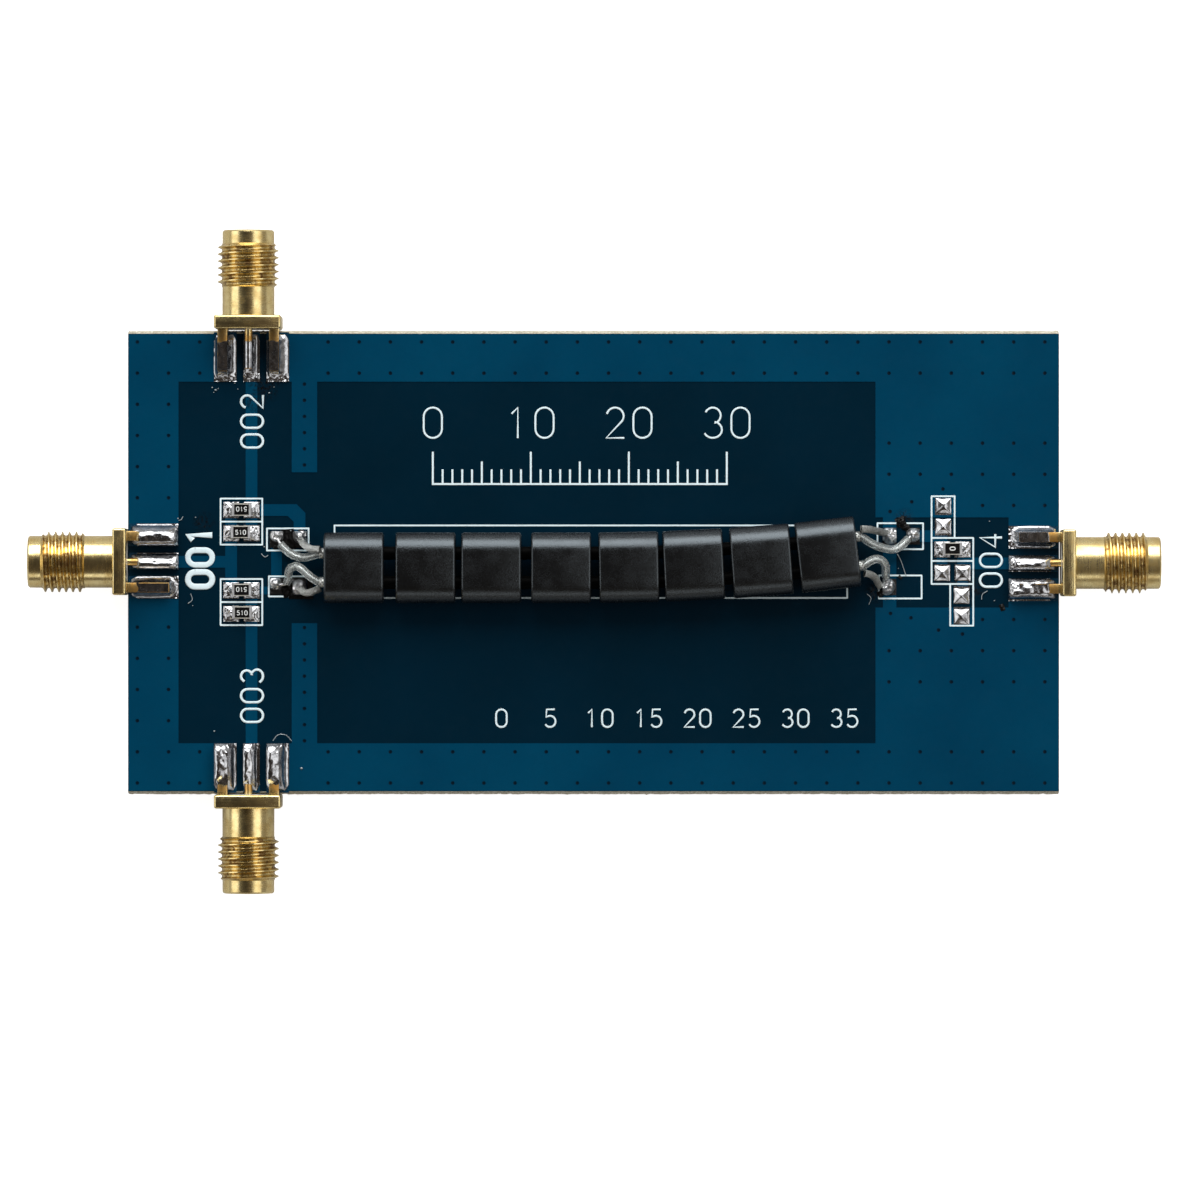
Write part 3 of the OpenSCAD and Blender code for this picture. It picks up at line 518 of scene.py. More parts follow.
# One sharp ridge wound round the barrel
def threadRidge(start):
    obj = fresh(bpy.ops.mesh.primitive_circle_add, vertices=8, radius=1)
    root, crest = jack["rootRadius"], jack["crestRadius"] + 0.02
    side = [(x, root + high) for x, high in jack["ridge"]] + [(jack["ridgeTop"], crest)]
    ring = [(-x, radius) for x, radius in side] + side[::-1]
    for vert, (x, radius) in zip(obj.data.vertices, ring):
        vert.co = (start + x, 0, radius)
    modify(obj, "SCREW", axis="X", angle=2 * math.pi, screw_offset=jack["pitch"], iterations=jack["turns"],
           steps=jack["steps"], render_steps=jack["steps"])
    editOn(obj, "EDGE")
    bpy.ops.mesh.select_non_manifold()
    bpy.ops.mesh.fill_holes(sides=8)
    editOff()
    weld(obj)
    return obj


# The jack lies along X with its flange on the board's edge. Its parts run a little into each other
def jackModel():
    flange, wide, lead = jack["flangeThick"], jack["flangeWide"] / 2, jack["lead"]
    neck = flange + jack["neckLong"]
    end = neck + jack["threadLong"]
    neckWide, crest, root, tip = [jack[part + "Radius"] for part in ("neck", "crest", "root", "tip")]
    body = turned([(neck - 0.6, root), (end + 0.3, root)])
    carve(body, threadRidge(neck - jack["pitch"]), "UNION")
    hull = [(neck, neckWide), (neck + lead, crest), (end - lead, crest), (end, tip)]
    carve(body, turned(hull), "INTERSECT")
    chamfer = [(jackLong - x, tip - deep) for x, deep in jack["tipEnd"]]
    carve(body, turned([(end - 0.1, tip - 0.02), (end, tip)] + chamfer), "UNION")
    carve(body, turned([(flange - 0.3, neckWide), (neck + 0.05, neckWide)]), "UNION")
    carve(body, bar((0, -wide, -wide), (flange, wide, wide), jack["flangeBevel"], 3), "UNION")
    top = board["padTop"] + jack["legGap"] - board["axis"]
    low = board["underside"] - jack["legGap"] - board["axis"]
    for side in (-1, 1):
        y = side * jack["legY"] - jack["legWide"] / 2
        for bottom, roof in ((top, top + jack["legHigh"]), (jack["lowLegFrom"] - board["axis"], low)):
            leg = bar((-jack["legLong"], y, bottom), (0.6, y + jack["legWide"], roof), jack["legBevel"])
            carve(body, leg, "UNION")
    carve(body, turned([(-0.2, jack["boreRadius"]), (jackLong + 0.2, jack["boreRadius"])]))
    radius, (flare, wider) = jack["socketRadius"], jack["socketFlare"]
    carve(body, turned([(jackLong - jack["socketDeep"], radius), (jackLong - flare, radius),
                        (jackLong + 0.1, radius + wider)]))
    weld(body)
    return body


jackTurns = {"input": 180, "reference": 90, "device": -90, "output": 0}


# Where a jack's own frame stands, from the box of its solid
def jackPlace(name):
    low, high = boxOf(name + "_jack_body")
    angle = math.radians(jackTurns[name])
    out = Vector((round(math.cos(angle)), round(math.sin(angle)), 0))
    reach = abs((high - low).dot(out)) / 2
    origin = (low + high) / 2 + out * (reach - jackLong)
    origin.z = board["axis"]
    return Matrix.Translation(origin) @ turnZ(jackTurns[name])


# root is a painted tint of light bounced in the thread's roots; the darkest colour is painted shade in the
# roots, with some dirt
gold = {"bright": (0.93, 0.77, 0.39), "deep": (0.7, 0.51, 0.2), "root": (0.66, 0.45, 0.14),
        "stain": (0.62, 0.33, 0.08), "rootShadeAndDirt": (0.16, 0.08, 0.03),
        "roughness": {"input": 0.19, "reference": 0.2, "device": 0.19, "output": 0.245}}


# Gold plating over turned brass. The marks of the tool run round the jack. In the thread's roots a painted
# orange tint stands for bounced light, and the darkest colour there is painted shade with some dirt
def goldFinish(name):
    s = newFinish(name + "Gold", Metallic=1.0)
    place, base = jackPlace(name), gold["roughness"][name]
    out = place.to_3x3() @ Vector((1, 0, 0))
    rings = s.grain(1, 2, 0.5, stretch=[0.5 + 8.5 * abs(v) for v in out])
    blotch = s.grain(0.9, 4, 0.6)
    colour = s.shade(blotch, 0.35, 0.7, gold["bright"], gold["deep"])
    offset = s.vector("SUBTRACT", s.place(), place.translation)
    along = s.vector("DOT_PRODUCT", offset, out)
    away = s.vector("LENGTH", s.vector("MULTIPLY", offset, [1 - abs(v) for v in out]))
    half = jack["threadLong"] / 2
    off = s.off(along, jack["flangeThick"] + jack["neckLong"] + half)
    # Thread roots: a painted bounce tint, then painted shade mixed with some dirt
    root = s.times(s.span(off, half, half - 0.25),
                   s.span(away, jack["crestRadius"] - 0.03, jack["rootRadius"] + 0.1))
    colour = s.blend(s.times(root, 0.5), colour, gold["root"])
    rootShadeAndDirt = s.times(root, s.span(s.grain(1.4, 4, 0.65), 0.47, 0.6, 0.0, 0.9))
    colour = s.blend(rootShadeAndDirt, colour, gold["rootShadeAndDirt"])
    # Flux has stained the legs
    stain = s.times(s.span(along, 0.0, -0.5), s.span(blotch, 0.3, 0.6, 0.4, 0.9))
    s.feed("Base Color", s.blend(stain, colour, gold["stain"]))
    shine = s.plus(s.span(blotch, 0.3, 0.7, base - 0.04, base + 0.08), s.span(rings, 0.3, 0.7, 0, 0.06))
    s.feed("Roughness", s.plus(shine, s.plus(s.times(rootShadeAndDirt, 0.2), s.times(stain, 0.2))))
    s.relief(s.grain(6), 0.15, 0.00002, s.relief(rings, 0.4, 0.00003))
    return s.owner


jackMaster = jackModel()
for name in jackTurns:
    finish[name + "Gold"] = goldFinish(name)
    settle([copyOf(jackMaster)], name + "Jack", name + "Gold", "gold_plate", [name + "_jack_body"],
           jackPlace(name), smooth=32)
bpy.data.objects.remove(jackMaster)
print("jacks made:", len(jackTurns))


# Ferrite cores
core = {"long": 6.1, "wide": 7.2, "high": 4.2, "round": 2.0, "endBevel": 0.24, "hole": 0.85, "apart": 1.5,
        "holeFlare": 0.1, "headings": [0, 0, 0, 0, 1, 2.8, 4.3, 6.5]}


def coreModel():
    half, flare = (core["long"] / 2, core["wide"] / 2, core["high"] / 2), core["holeFlare"]
    obj = bar([-h for h in half], half, 0)
    editOn(obj, "EDGE")

    def spanX(edge):
        return abs(edge.verts[0].co.x - edge.verts[1].co.x)
    choose(obj, "edges", lambda edge: spanX(edge) > 1)
    bpy.ops.mesh.bevel(offset=core["round"], segments=10, affect="EDGES")
    choose(obj, "edges", lambda edge: spanX(edge) < 0.01 and abs(abs(edge.verts[0].co.x) - half[0]) < 0.01)
    bpy.ops.mesh.bevel(offset=core["endBevel"], segments=4, affect="EDGES")
    editOff()
    for side in (-1, 1):
        hole = turned([(-half[0] - 0.2, core["hole"] + flare), (-half[0] + 0.1, core["hole"]),
                       (half[0] - 0.1, core["hole"]), (half[0] + 0.2, core["hole"] + flare)], 40)
        hole.data.transform(Matrix.Translation((0, side * core["apart"], 0)))
        carve(obj, hole)
    weld(obj)
    return obj


coreMaster = coreModel()
for i, heading in enumerate(core["headings"]):
    node = f"ferrite_core_{i + 1}"
    place = Matrix.Translation(sum(boxOf(node), Vector()) / 2) @ turnZ(heading)
    settle([copyOf(coreMaster)], f"core{i + 1}", "ferrite", "ferrite", [node], place, smooth=40)
bpy.data.objects.remove(coreMaster)
print("cores made:", len(core["headings"]))


# Coaxial lines
# The bent ends, as in the solids: how far from the nearer end of the board, across it and over the pads
wires = {
    "upperLeft": [(15.15, 2.75, 0.2), (15.3, 2.3, 0.35), (15.55, 1.9, 0.5), (16.15, 1.25, 0.65),
                  (16.9, 0.75, 0.85), (17.9, 0.5, 1.2), (18.8, 0.65, 1.7), (19.55, 0.9, 2.05)],
    "lowerLeft": [(14.95, -2, 0.2), (15.55, -2.3, 0.25), (16.15, -2.2, 0.5), (16.4, -1.7, 0.6),
                  (16.4, -1.05, 0.9), (16.65, -0.55, 1.15), (17.15, -0.35, 1.35), (17.7, -0.6, 1.55),
                  (18.3, -1.15, 1.75), (19, -1.7, 1.95), (19.55, -2, 2.05)],
    "upperRight": [(20.3, 2.65, 2.05), (19.6, 2.2, 1.9), (18.8, 1.75, 1.65), (17.9, 1.45, 1.3),
                   (17.05, 1.3, 1), (16.3, 1.55, 0.75), (15.75, 2.05, 0.6), (15.35, 2.45, 0.5),
                   (15.05, 2.75, 0.3), (14.85, 2.95, 0.2)],
    "lowerRight": [(19.95, -0.3, 2.05), (19.4, 0.1, 2), (18.8, 0.35, 1.9), (18.2, 0.25, 1.7),
                   (17.8, -0.2, 1.4), (17.7, -0.85, 1), (17.7, -1.5, 0.65), (17.65, -1.95, 0.35),
                   (17.6, -2.4, 0.2)],
    "upperLeftTail": [(19.7, 1.3, 2.8), (18.9, 1.35, 2.5), (18.3, 1.6, 1.9), (17.85, 2, 1.1),
                      (17.6, 2.4, 0.6), (17.5, 2.75, 0.45)],
    "lowerLeftTail": [(19.7, -2.6, 1.45), (18.9, -2.95, 1.25), (18.3, -3.1, 0.9), (17.8, -2.95, 0.6),
                      (17.45, -2.6, 0.45)],
    "upperRightTail": [(20.25, 3.4, 2.45), (19.6, 3.35, 2.2), (18.9, 3.25, 1.7), (18.2, 3.1, 1.05),
                       (17.7, 3, 0.6), (17.3, 2.9, 0.45)],
    "lowerRightTail": [(19.9, -1.1, 1.75), (19.3, -1.25, 1.5), (18.8, -1.6, 1.1), (18.5, -2.1, 0.7),
                       (18.2, -2.5, 0.45)],
    # radii, strands of a tail and points at each end where the conductor is bare
    "conductor": 0.15, "dielectric": 0.425, "braid": 0.55, "jacket": 0.675, "tail": 0.4, "strands": 15,
    "barePoints": 2}


# Points from the left end of the board when the sign is -1, and from its right end when it is 1
def fromEnd(sign, points):
    return [onBoard(sign * (board["length"] / 2 - x), y, board["padTop"] + z) for x, y, z in points]


def rowPoints(side):
    points = []
    for i, heading in enumerate(core["headings"]):
        middle = sum(boxOf(f"ferrite_core_{i + 1}"), Vector()) / 2
        along = Vector((math.cos(math.radians(heading)), math.sin(math.radians(heading)), 0))
        across = Vector((-along.y, along.x, 0)) * side * core["apart"]
        points += [middle + across - along * core["long"] / 2, middle + across + along * core["long"] / 2]
    return points


# A smooth line through the points, with a step of about the given length
def eased(points, step):
    line = []
    for i in range(len(points) - 1):
        p0, p1, p2 = points[max(i - 1, 0)], points[i], points[i + 1]
        p3 = points[min(i + 2, len(points) - 1)]
        count = max(1, int((p2 - p1).length / step))
        # Tangents are weighed by the spans, so that a long span beside a short one doesn't overshoot
        d1, d2, d3 = [max((b - a).length, 1e-6) for a, b in ((p0, p1), (p1, p2), (p2, p3))]
        back, ahead = d1 if i else d2, (p2 - p1) / d2
        t1 = (ahead * back + (p1 - p0) / d1 * d2) / (back + d2)
        t2 = (ahead * d3 + (p3 - p2) / d3 * d2) / (d2 + d3) if i + 2 < len(points) else ahead
        for k in range(count):
            t = k / count
            a, b = 2 * t ** 3 - 3 * t ** 2 + 1, t ** 3 - 2 * t ** 2 + t
            line.append(p1 * a + t1 * d2 * b + p2 * (1 - a) + t2 * d2 * (t ** 3 - t ** 2))
    line.append(points[-1].copy())
    return line


# Along a line: each point, two directions across it that turn as little as they can, and the length so far
def follow(line):
    up, run = Vector((0, 0, 1)), 0.0
    for i, p in enumerate(line):
        ahead = (line[min(i + 1, len(line) - 1)] - line[max(i - 1, 0)]).normalized()
        side = up.cross(ahead).normalized()
        up = ahead.cross(side).normalized()
        if i:
            run += (p - line[i - 1]).length
        yield p, side, up, run


# A closed tube along a line, with u round it and v along it in millimetres
def tubeAlong(line, radius, sides):
    mesh = bpy.data.meshes.new("tube")
    points, corners, uvs = [], [], []
    last = 0.0
    for i, (p, side, up, run) in enumerate(follow(line)):
        base = i * sides
        for k in range(sides):
            a = 2 * math.pi * k / sides
            points.append(p + (side * math.cos(a) + up * math.sin(a)) * radius)
            if i:
                n, u, nextU = (k + 1) % sides, k / sides, (k + 1) / sides
                corners.append((base - sides + k, base - sides + n, base + n, base + k))
                uvs += [(u, last), (nextU, last), (nextU, run), (u, run)]
        last = run
    end = (len(line) - 1) * sides
    corners += [tuple(range(sides - 1, -1, -1)), tuple(range(end, end + sides))]
    uvs += [(0, 0)] * (2 * sides)
    mesh.from_pydata([tuple(v) for v in points], [], corners)
    layer = mesh.uv_layers.new(name="UVMap")
    for loop, uv in enumerate(uvs):
        layer.data[loop].uv = uv
    mesh.shade_smooth()
    return newObject("tube", mesh)


# A tail: strands of the braid twisted together round two more
def twistedTail(line):
    thick, strands = wires["tail"], wires["strands"]
    thin, outer, pieces = thick * 0.2, strands - 2, []
    for s in range(strands):
        path = []
        for p, side, up, run in follow(line):
            a = 2 * math.pi * s / outer + run * 1.1
            out = (thick - thin) * (0.25 if s >= outer else 0.9 + 0.16 * rough(run, s, 1.3, 4.0 + s))
            path.append(p + (side * math.cos(a) + up * math.sin(a)) * out)
        pieces.append(tubeAlong(path, thin, 7))
    return joinUp(pieces, "tail")


for side, line in ((1, "upper"), (-1, "lower")):
    start, end = fromEnd(-1, wires[line + "Left"]), fromEnd(1, wires[line + "Right"])
    middle = rowPoints(side)
    whole = start + middle + end
    inside = whole[wires["barePoints"]:-wires["barePoints"]]
    for part, points, step, sides, look, slot in (("Conductor", whole, 0.35, 10, "wire", "plated_wire"),
                                                  ("Dielectric", inside, 0.3, 20, "film", "dielectric"),
                                                  ("Jacket", middle, 0.3, 24, "jacket", "cable_jacket")):
        tube = tubeAlong(eased(points, step), wires[part.lower()], sides)
        settle([tube], line + part, look, slot, [f"{line}_{part.lower()}"])
    braids = [tubeAlong(eased([start[-1]] + middle + [end[0]], 0.3), wires["braid"], 24)]
    for sign, where in ((-1, "LeftTail"), (1, "RightTail")):
        braids.append(twistedTail(eased(fromEnd(sign, wires[line + where]), 0.12)))
    settle(braids, line + "Braid", "braid", "braid", [line + "_braid"])
print("coaxial lines made")


# Solder
# A cushion of solder: a grid raised by a height function and closed below
def raised(size, cells, heightAt, widthAt=None):
    obj = fresh(bpy.ops.mesh.primitive_grid_add, x_subdivisions=cells[0], y_subdivisions=cells[1], size=1)
    for vert in obj.data.vertices:
        x = vert.co.x * size[0]
        y = vert.co.y * size[1] * (widthAt(x) if widthAt else 1)
        vert.co = (x, y, max(0.006, heightAt(x, y)))
    closeSheet(obj, (0, 0, -0.01), 0.0)
    return obj


# The same on the board, round a place from its middle
def cushion(x, y, size, cells, heightAt, turn=0):
    piece = raised(size, cells, heightAt)
    piece.data.transform(Matrix.Translation(onBoard(x, y, board["padTop"])) @ turnZ(turn))
    return piece


mound = {"cell": 0.06, "outerPad": 2.3, "middlePad": 1.68, "film": 0.03, "bare": 0.85, "sideBare": 0.3,
         "short": 0.35, "waist": 0.3, "waistLong": 1.1, "pinRadius": 0.4, "pinLong": 4.0, "spread": 0.05,
         # For each jack, from the leg on its -Y side as it looks out: coat on top, fillet height and, for
         # a full joint, the height of its drop against that of the leg
         "looks": {
             "input": [(0.08, 0.9, 1.38), (0.05, 0.6, 1.2), (0.04, 0.6, 0)],
             "reference": [(0.05, 0.6, 0), (0.05, 0.6, 0), (0.05, 0.65, 0)],
             "device": [(0.05, 0.7, 1.25), (0.05, 0.6, 1.3), (0.05, 0.85, 1.32)],
             "output": [(0.07, 0.7, 1.14), (0.05, 0.6, 1.3), (0.05, 0.75, 0)]},
         # How far the drops of each jack lean to one side, and how square their ends are
         "lean": {"input": -0.3, "reference": 0, "device": 0.24, "output": 0.2},
         "swell": {"input": 6, "reference": 3, "device": 3, "output": 4},
         "underLook": (0.04, 0.7, 0, 0, 3), "dropMiddle": 2.85, "dropHalf": 2.45}


# A full joint swells over its leg or pin as one smooth drop
def drop(x, y, centre, halfPad, top, lean, swell, seed):
    top *= 1 - lean * (y - centre) / halfPad
    lengthways = max(0.0, 1 - abs((x - mound["dropMiddle"]) / mound["dropHalf"]) ** swell) ** 0.5
    crossways = max(0.0, 1 - abs((y - centre) / (halfPad * 0.97)) ** 2.4) ** 0.5
    wave = 1 + 0.14 * rough(x, y, 0.7, seed) + 0.04 * rough(x, y, 2.4, seed + 5)
    return top * lengthways * crossways * wave


# Creases where the iron left the joint, beyond the end of the leg
def crumple(x, y, beyond, seed):
    return 0.16 * min(1.0, 1.5 * beyond) * abs(rough(x, y, 2.8, seed + 7)) + 0.03 * min(1.0, beyond)


# How far a joint has begun, past the bare metal at the board's edge
def begun(x, y, bare, ragged, over, seed):
    return ease((x - bare - ragged * rough(0.3, y, 2.0, seed)) / over)


# Solder that has crept up the side of the metal, over a thin film on the whole pad
def fillet(x, y, high, spread, wave, seed):
    start = begun(x, y, mound["sideBare"], 0.2, 0.6, seed)
    return high * spread * wave * start + 0.03 * (1 + rough(x, y, 1.2, seed + 3))


# Height over the pad beside, on and beyond a leg. x runs from the board's edge inwards
def legHeight(x, y, halfPad, centre, tip, high, look, seed):
    coat, side, bulge, lean, swell = look
    half = jack["legWide"] / 2
    aside, beyond = max(0.0, abs(y - centre) - half), max(0.0, x - tip)
    room = halfPad - half - (centre if y > 0 else -centre)
    reach = max(0.0, 1 - aside / max(room, 0.1)) * max(0.0, 1 - beyond / (board["rim"] - tip))
    wave = 1 + 0.28 * rough(x, y, 0.9, seed) + 0.1 * rough(x, y, 2.6, seed + 5)
    height = fillet(x, y, side * high, reach ** 1.8, wave, seed)
    if bulge:
        height = softMax(height, drop(x, y, centre, halfPad, high * bulge, lean, swell, seed), 0.1)
    if aside == 0 and beyond == 0:
        crust = begun(x, y, mound["bare"], 0.25, 0.3, seed)
        crown = high + mound["film"] + coat * crust * (1 + 0.5 * rough(x, y, 1.7, seed + 9)) - 0.025
        height = softMax(height, crown, 0.08) if crust > 0.9 else crown
    return height + crumple(x, y, beyond, seed)


# The same for the round pin in the middle
def pinHeight(x, y, halfPad, centre, tip, high, look, seed):
    coat, side, bulge, lean, swell = look
    radius = mound["pinRadius"]
    aside, beyond = abs(y - centre), max(0.0, x - tip)
    across = max(0.0, 1 - max(0.0, aside - radius * 0.8) / (halfPad - radius * 0.8))
    reach = across * max(0.0, 1 - beyond / (board["rim"] - tip))
    wave = 1 + 0.28 * rough(x, y, 1.1, seed) + 0.12 * rough(x, y, 3.0, seed + 5)
    height = fillet(x, y, side, reach ** 1.3, wave, seed)
    if bulge:
        height = softMax(height, drop(x, y, centre, halfPad, high * bulge, lean, swell, seed), 0.08)
    if aside < radius and beyond == 0:
        crust = begun(x, y, mound["bare"], 0.2, 0.3, seed)
        crown = mound["film"] + radius + math.sqrt(radius ** 2 - aside ** 2) + coat * crust - 0.02
        height = softMax(height, crown, 0.06) if crust > 0.5 else crown
    return height + crumple(x, y, beyond, seed)


padLines = {"input": 0.08, "reference": 0.3, "device": 0.3, "output": -0.05}


# All the joints of one jack, over and under the board
def jackSolder(name, seed):
    place = jackPlace(name)
    out, across = [place.to_3x3() @ Vector(axis) for axis in ((1, 0, 0), (0, 1, 0))]
    edge = board["length"] / 2 if abs(out.x) > 0.5 else board["width"] / 2
    gap = abs((place.translation - onBoard(0, 0)).dot(out)) - edge
    shift = padLines[name] * (across.x if abs(across.x) > 0.5 else across.y)
    short, pieces = mound["short"], []
    long = board["rim"] - short
    for leg, under in ((-1, False), (-1, True), (0, False), (1, False), (1, True)):
        wide = mound["outerPad"] if leg else mound["middlePad"]
        padAt = shift + leg * (jack["legY"] + mound["spread"])
        centre = leg * jack["legY"] - padAt
        heightOf = legHeight if leg else pinHeight
        tip = (jack["legLong"] if leg else mound["pinLong"]) - gap
        look = (*mound["looks"][name][leg + 1], mound["lean"][name], mound["swell"][name])
        high = jack["legHigh"] if leg else 2 * mound["pinRadius"]
        level, key = board["padTop"], seed + 7 * leg
        # From the pad's frame, whose X runs inwards, into the jack's
        turn = turnZ(180) @ Matrix.Scale(-1, 4, (0, 1, 0))
        if under:
            look, key, level = mound["underLook"], key + 50, board["underside"]
            high = level - mound["film"] - jack["lowLegFrom"]
            turn = Matrix.Scale(-1, 4, (0, 0, 1)) @ turn

        def heightAt(x, y):
            return heightOf(x + short + long / 2, y, wide / 2, centre, tip, high, look, key)

        def widthAt(x):
            near = max(0.0, 1 - (x + long / 2) / mound["waistLong"])
            return 1 - mound["waist"] * near ** 2 - 0.03 * abs(rough(x, 0, 1.6, key))
        cells = (int(long / mound["cell"]), int(wide / mound["cell"]))
        piece = raised((long, wide), cells, heightAt, widthAt)
        spot = Matrix.Translation((-gap - short - long / 2, padAt, level - board["axis"]))
        piece.data.transform(spot @ turn)
        weld(piece)
        pieces.append(piece)
    settle(pieces, name + "JackSolder", "solder", "solder", [name + "_jack_solder"], place, smooth=60)


for index, name in enumerate(jackTurns):
    jackSolder(name, 11.3 * (index + 1))

# Joints of the coaxial ends: middle of the pad from the board's nearer end, and middle, radius and height
# of the dome
joints = {
    "pad": (1.4, 1.7), "cells": (28, 34),
    "left": [(15.15, 2.35, 15.2, 2.75, 0.72, 0.5), (17.5, 2.35, 17.6, 2.75, 0.8, 0.8),
             (15.15, -2.44, 15.0, -2.1, 0.7, 0.45), (17.5, -2.44, 17.4, -2.6, 0.85, 0.75)],
    "right": [(17.3, 2.68, 17.2, 2.75, 0.95, 0.8), (14.9, 2.68, 14.9, 2.8, 0.75, 0.6),
              (17.3, -2.5, 17.6, -2.45, 0.9, 0.8)]}


def wireJoints(side, seed):
    sign, pieces = -1 if side == "left" else 1, []
    for index, (px, py, x, y, radius, high) in enumerate(joints[side]):
        padX, domeX = sign * (board["length"] / 2 - px), sign * (board["length"] / 2 - x)
        key = seed + index * 3.1

        def shape(u, v):
            apart = math.hypot(u + padX - domeX, v + py - y) / radius
            dome = high * max(0.0, 1 - apart ** 2) ** 0.8
            skirt = 0.1 * max(0.0, 1.3 - apart)
            return (dome + skirt) * (1 + 0.45 * rough(u, v, 1.8, key) + 0.3 * rough(u, v, 3.6, key))
        pieces.append(cushion(padX, py, joints["pad"], joints["cells"], shape))
    settle(pieces, side + "WireJoints", "joint", "solder", [side + "_wire_solder"], smooth=60)


# Chips: their middles from the middle of the board and how far each has slipped off the middle of its pads,
# and the empty pads beside the link
chips = {"long": 2.0, "wide": 1.3, "high": 0.5, "pad": 1.65, "padOff": 1.05, "cells": (26, 26),
         "places": [(-35.9, 5.445), (-36.0, 3.065), (-35.9, -2.755), (-35.84, -5.145), (36.62, 1.41)],
         "slips": [(0.03, 0.05), (-0.07, 0.12), (0.03, 0.06), (0.09, 0.12), (0, 0.08)],
         "spare": [(35.695, 5.755), (35.695, 3.655), (35.57, -1.12), (37.67, -1.12), (37.545, -3.445),
                   (37.545, -5.545)]}


def chipSolder():
    pad, half, pieces = chips["pad"] - 0.1, chips["long"] / 2, []
    for index, ((x, y), slip) in enumerate(zip(chips["places"], chips["slips"])):
        for side in (-1, 1):
            padX, padY = x - slip[0] + side * chips["padOff"], y - slip[1]
            key = 2.7 * index + 40 * side

            def shape(u, v):
                outward = side * (u + padX - x) - half
                toe = side * slip[0] * -1 + chips["padOff"] + pad / 2 - half
                if outward < -0.02 and abs(v + padY - y) < chips["wide"] / 2 - 0.03:
                    return 0.02
                away = max(max(0.0, outward) / toe, 0.92 * abs(2 * v / pad) ** 1.4)
                slope = chips["high"] * 0.88 * (1 - min(1, away) ** 0.8)
                crease = 0.09 * abs(rough(u, v, 3.6, key + 2))
                return (slope + 0.02) * (1 + 0.5 * rough(u, v, 2.6, key)) + crease
            pieces.append(cushion(padX, padY, (pad, pad), chips["cells"], shape))
    settle(pieces, "chipFillets", "solder", "solder", ["chip_solder"], smooth=50)


def sparePillows():
    side, pieces = chips["pad"] - 0.08, []
    for index, (x, y) in enumerate(chips["spare"]):
        key = 5.3 * index + 1

        def shape(u, v):
            a, b = abs(2 * u / side), abs(2 * v / side)
            pinch = 1 + 0.1 * (1 - min(a, b) / max(a, b, 0.01))
            edge = min(1, max(a, b) * pinch) ** 1.35
            return 0.34 * (1 - edge) * (1 + 0.55 * rough(u, v, 1.3, key)) + 0.01
        pieces.append(cushion(x, y, (side, side), chips["cells"], shape))
    settle(pieces, "sparePillows", "solder", "solder", ["spare_pad_solder"], smooth=50)


# Crusts of burnt flux on the board: middle, length, width, height and turn in degrees
crusts = [(31.35, 4.15, 1.0, 1.0, 0.3, 20), (31.85, 3.6, 0.8, 0.7, 0.22, -35),
          (31.3, -1.5, 0.45, 0.3, 0.12, -40), (41.7, -4.6, 0.5, 0.7, 0.1, 20),
          (-31.17, 2.35, 1.4, 2.1, 0.08, 5), (-31.2, -2.75, 1.3, 1.5, 0.08, 20),
          (-30.0, -3.42, 2.2, 0.6, 0.06, 0), (-28.9, -2.6, 0.6, 2.3, 0.06, 0),
          (29.35, -3.15, 0.8, 0.6, 0.25, 30), (-31.55, -2.0, 0.5, 0.35, 0.1, 15),
          (-29.9, 2.9, 0.7, 1.0, 0.14, -20), (-32.5, 1.5, 0.45, 0.5, 0.1, 40)]


def fluxCrusts():
    pieces = []
    for index, (x, y, long, wide, high, turn) in enumerate(crusts):
        key = 7.7 * index + 2

        def shape(u, v):
            apart = math.hypot(2 * u / long, 2 * v / wide) + 0.5 * rough(u, v, 3.0, key)
            return high * max(0.0, 1 - apart) ** 0.5 * (1 + 0.9 * rough(u, v, 5.0, key + 3))
        pieces.append(cushion(x, y, (long, wide), (22, 22), shape, turn))
    settle(pieces, "fluxCrusts", "flux", "solder", smooth=60)


# Whiskers of dried flux: points of a thin line on the lacquer, or at their own height over the pads
whiskers = [[(31.0, 0.87), (31.35, 0.2), (31.6, -0.5), (31.9, -1.4)],
            [(39.6, -3.8), (39.65, -3.3), (40.2, -2.9)], [(27.9, -3.2), (28.3, -3.6), (28.1, -4.3)],
            [(-33.9, 0.9), (-33.5, 0.55), (-33.2, 0.75)], [(-41.1, -3.2), (-40.95, -3.8), (-41.4, -4.2)],
            [(-32.7, -18.2, 0.3), (-32.2, -17.6, 0.5), (-31.4, -17.6, 0.5), (-30.8, -18.2, 0.3)],
            [(-41.9, 4.7), (-42.1, 4.35), (-42.35, 4.3)]]
whisker = {"radius": 0.035, "over": 0.02}


def fluxWhiskers():
    pieces = []
    for points in whiskers:
        line = [onBoard(x, y, board["padTop"] + (z[0] if z else whisker["over"])) for x, y, *z in points]
        pieces.append(tubeAlong(eased(line, 0.12), whisker["radius"], 8))
    settle(pieces, "fluxWhiskers", "fleck", "solder")


# Beads of flux that have spattered round the joints: middle and radius
beads = [(-38.9, 17.85, 0.07), (-38.55, 17.6, 0.1), (-38.3, 17.75, 0.05), (-38.75, 17.35, 0.05),
         (-36.6, 18.3, 0.06), (-36.3, 17.7, 0.05), (-33.1, 17.3, 0.07), (-32.6, 17.9, 0.05),
         (-31.9, -17.5, 0.06), (-38.7, -17.2, 0.07), (-30.9, 3.25, 0.06), (-33.6, 1.6, 0.06),
         (30.2, -0.3, 0.06), (30.6, -2.9, 0.05), (31.1, -0.6, 0.04), (33.2, 3.3, 0.05),
         (-40.6, 4.6, 0.06), (-40.9, -4.4, 0.05), (40.4, 4.2, 0.05), (40.9, -3.9, 0.06),
         (-29.8, -21.0, 0.11), (-42.4, 4.5, 0.07)]


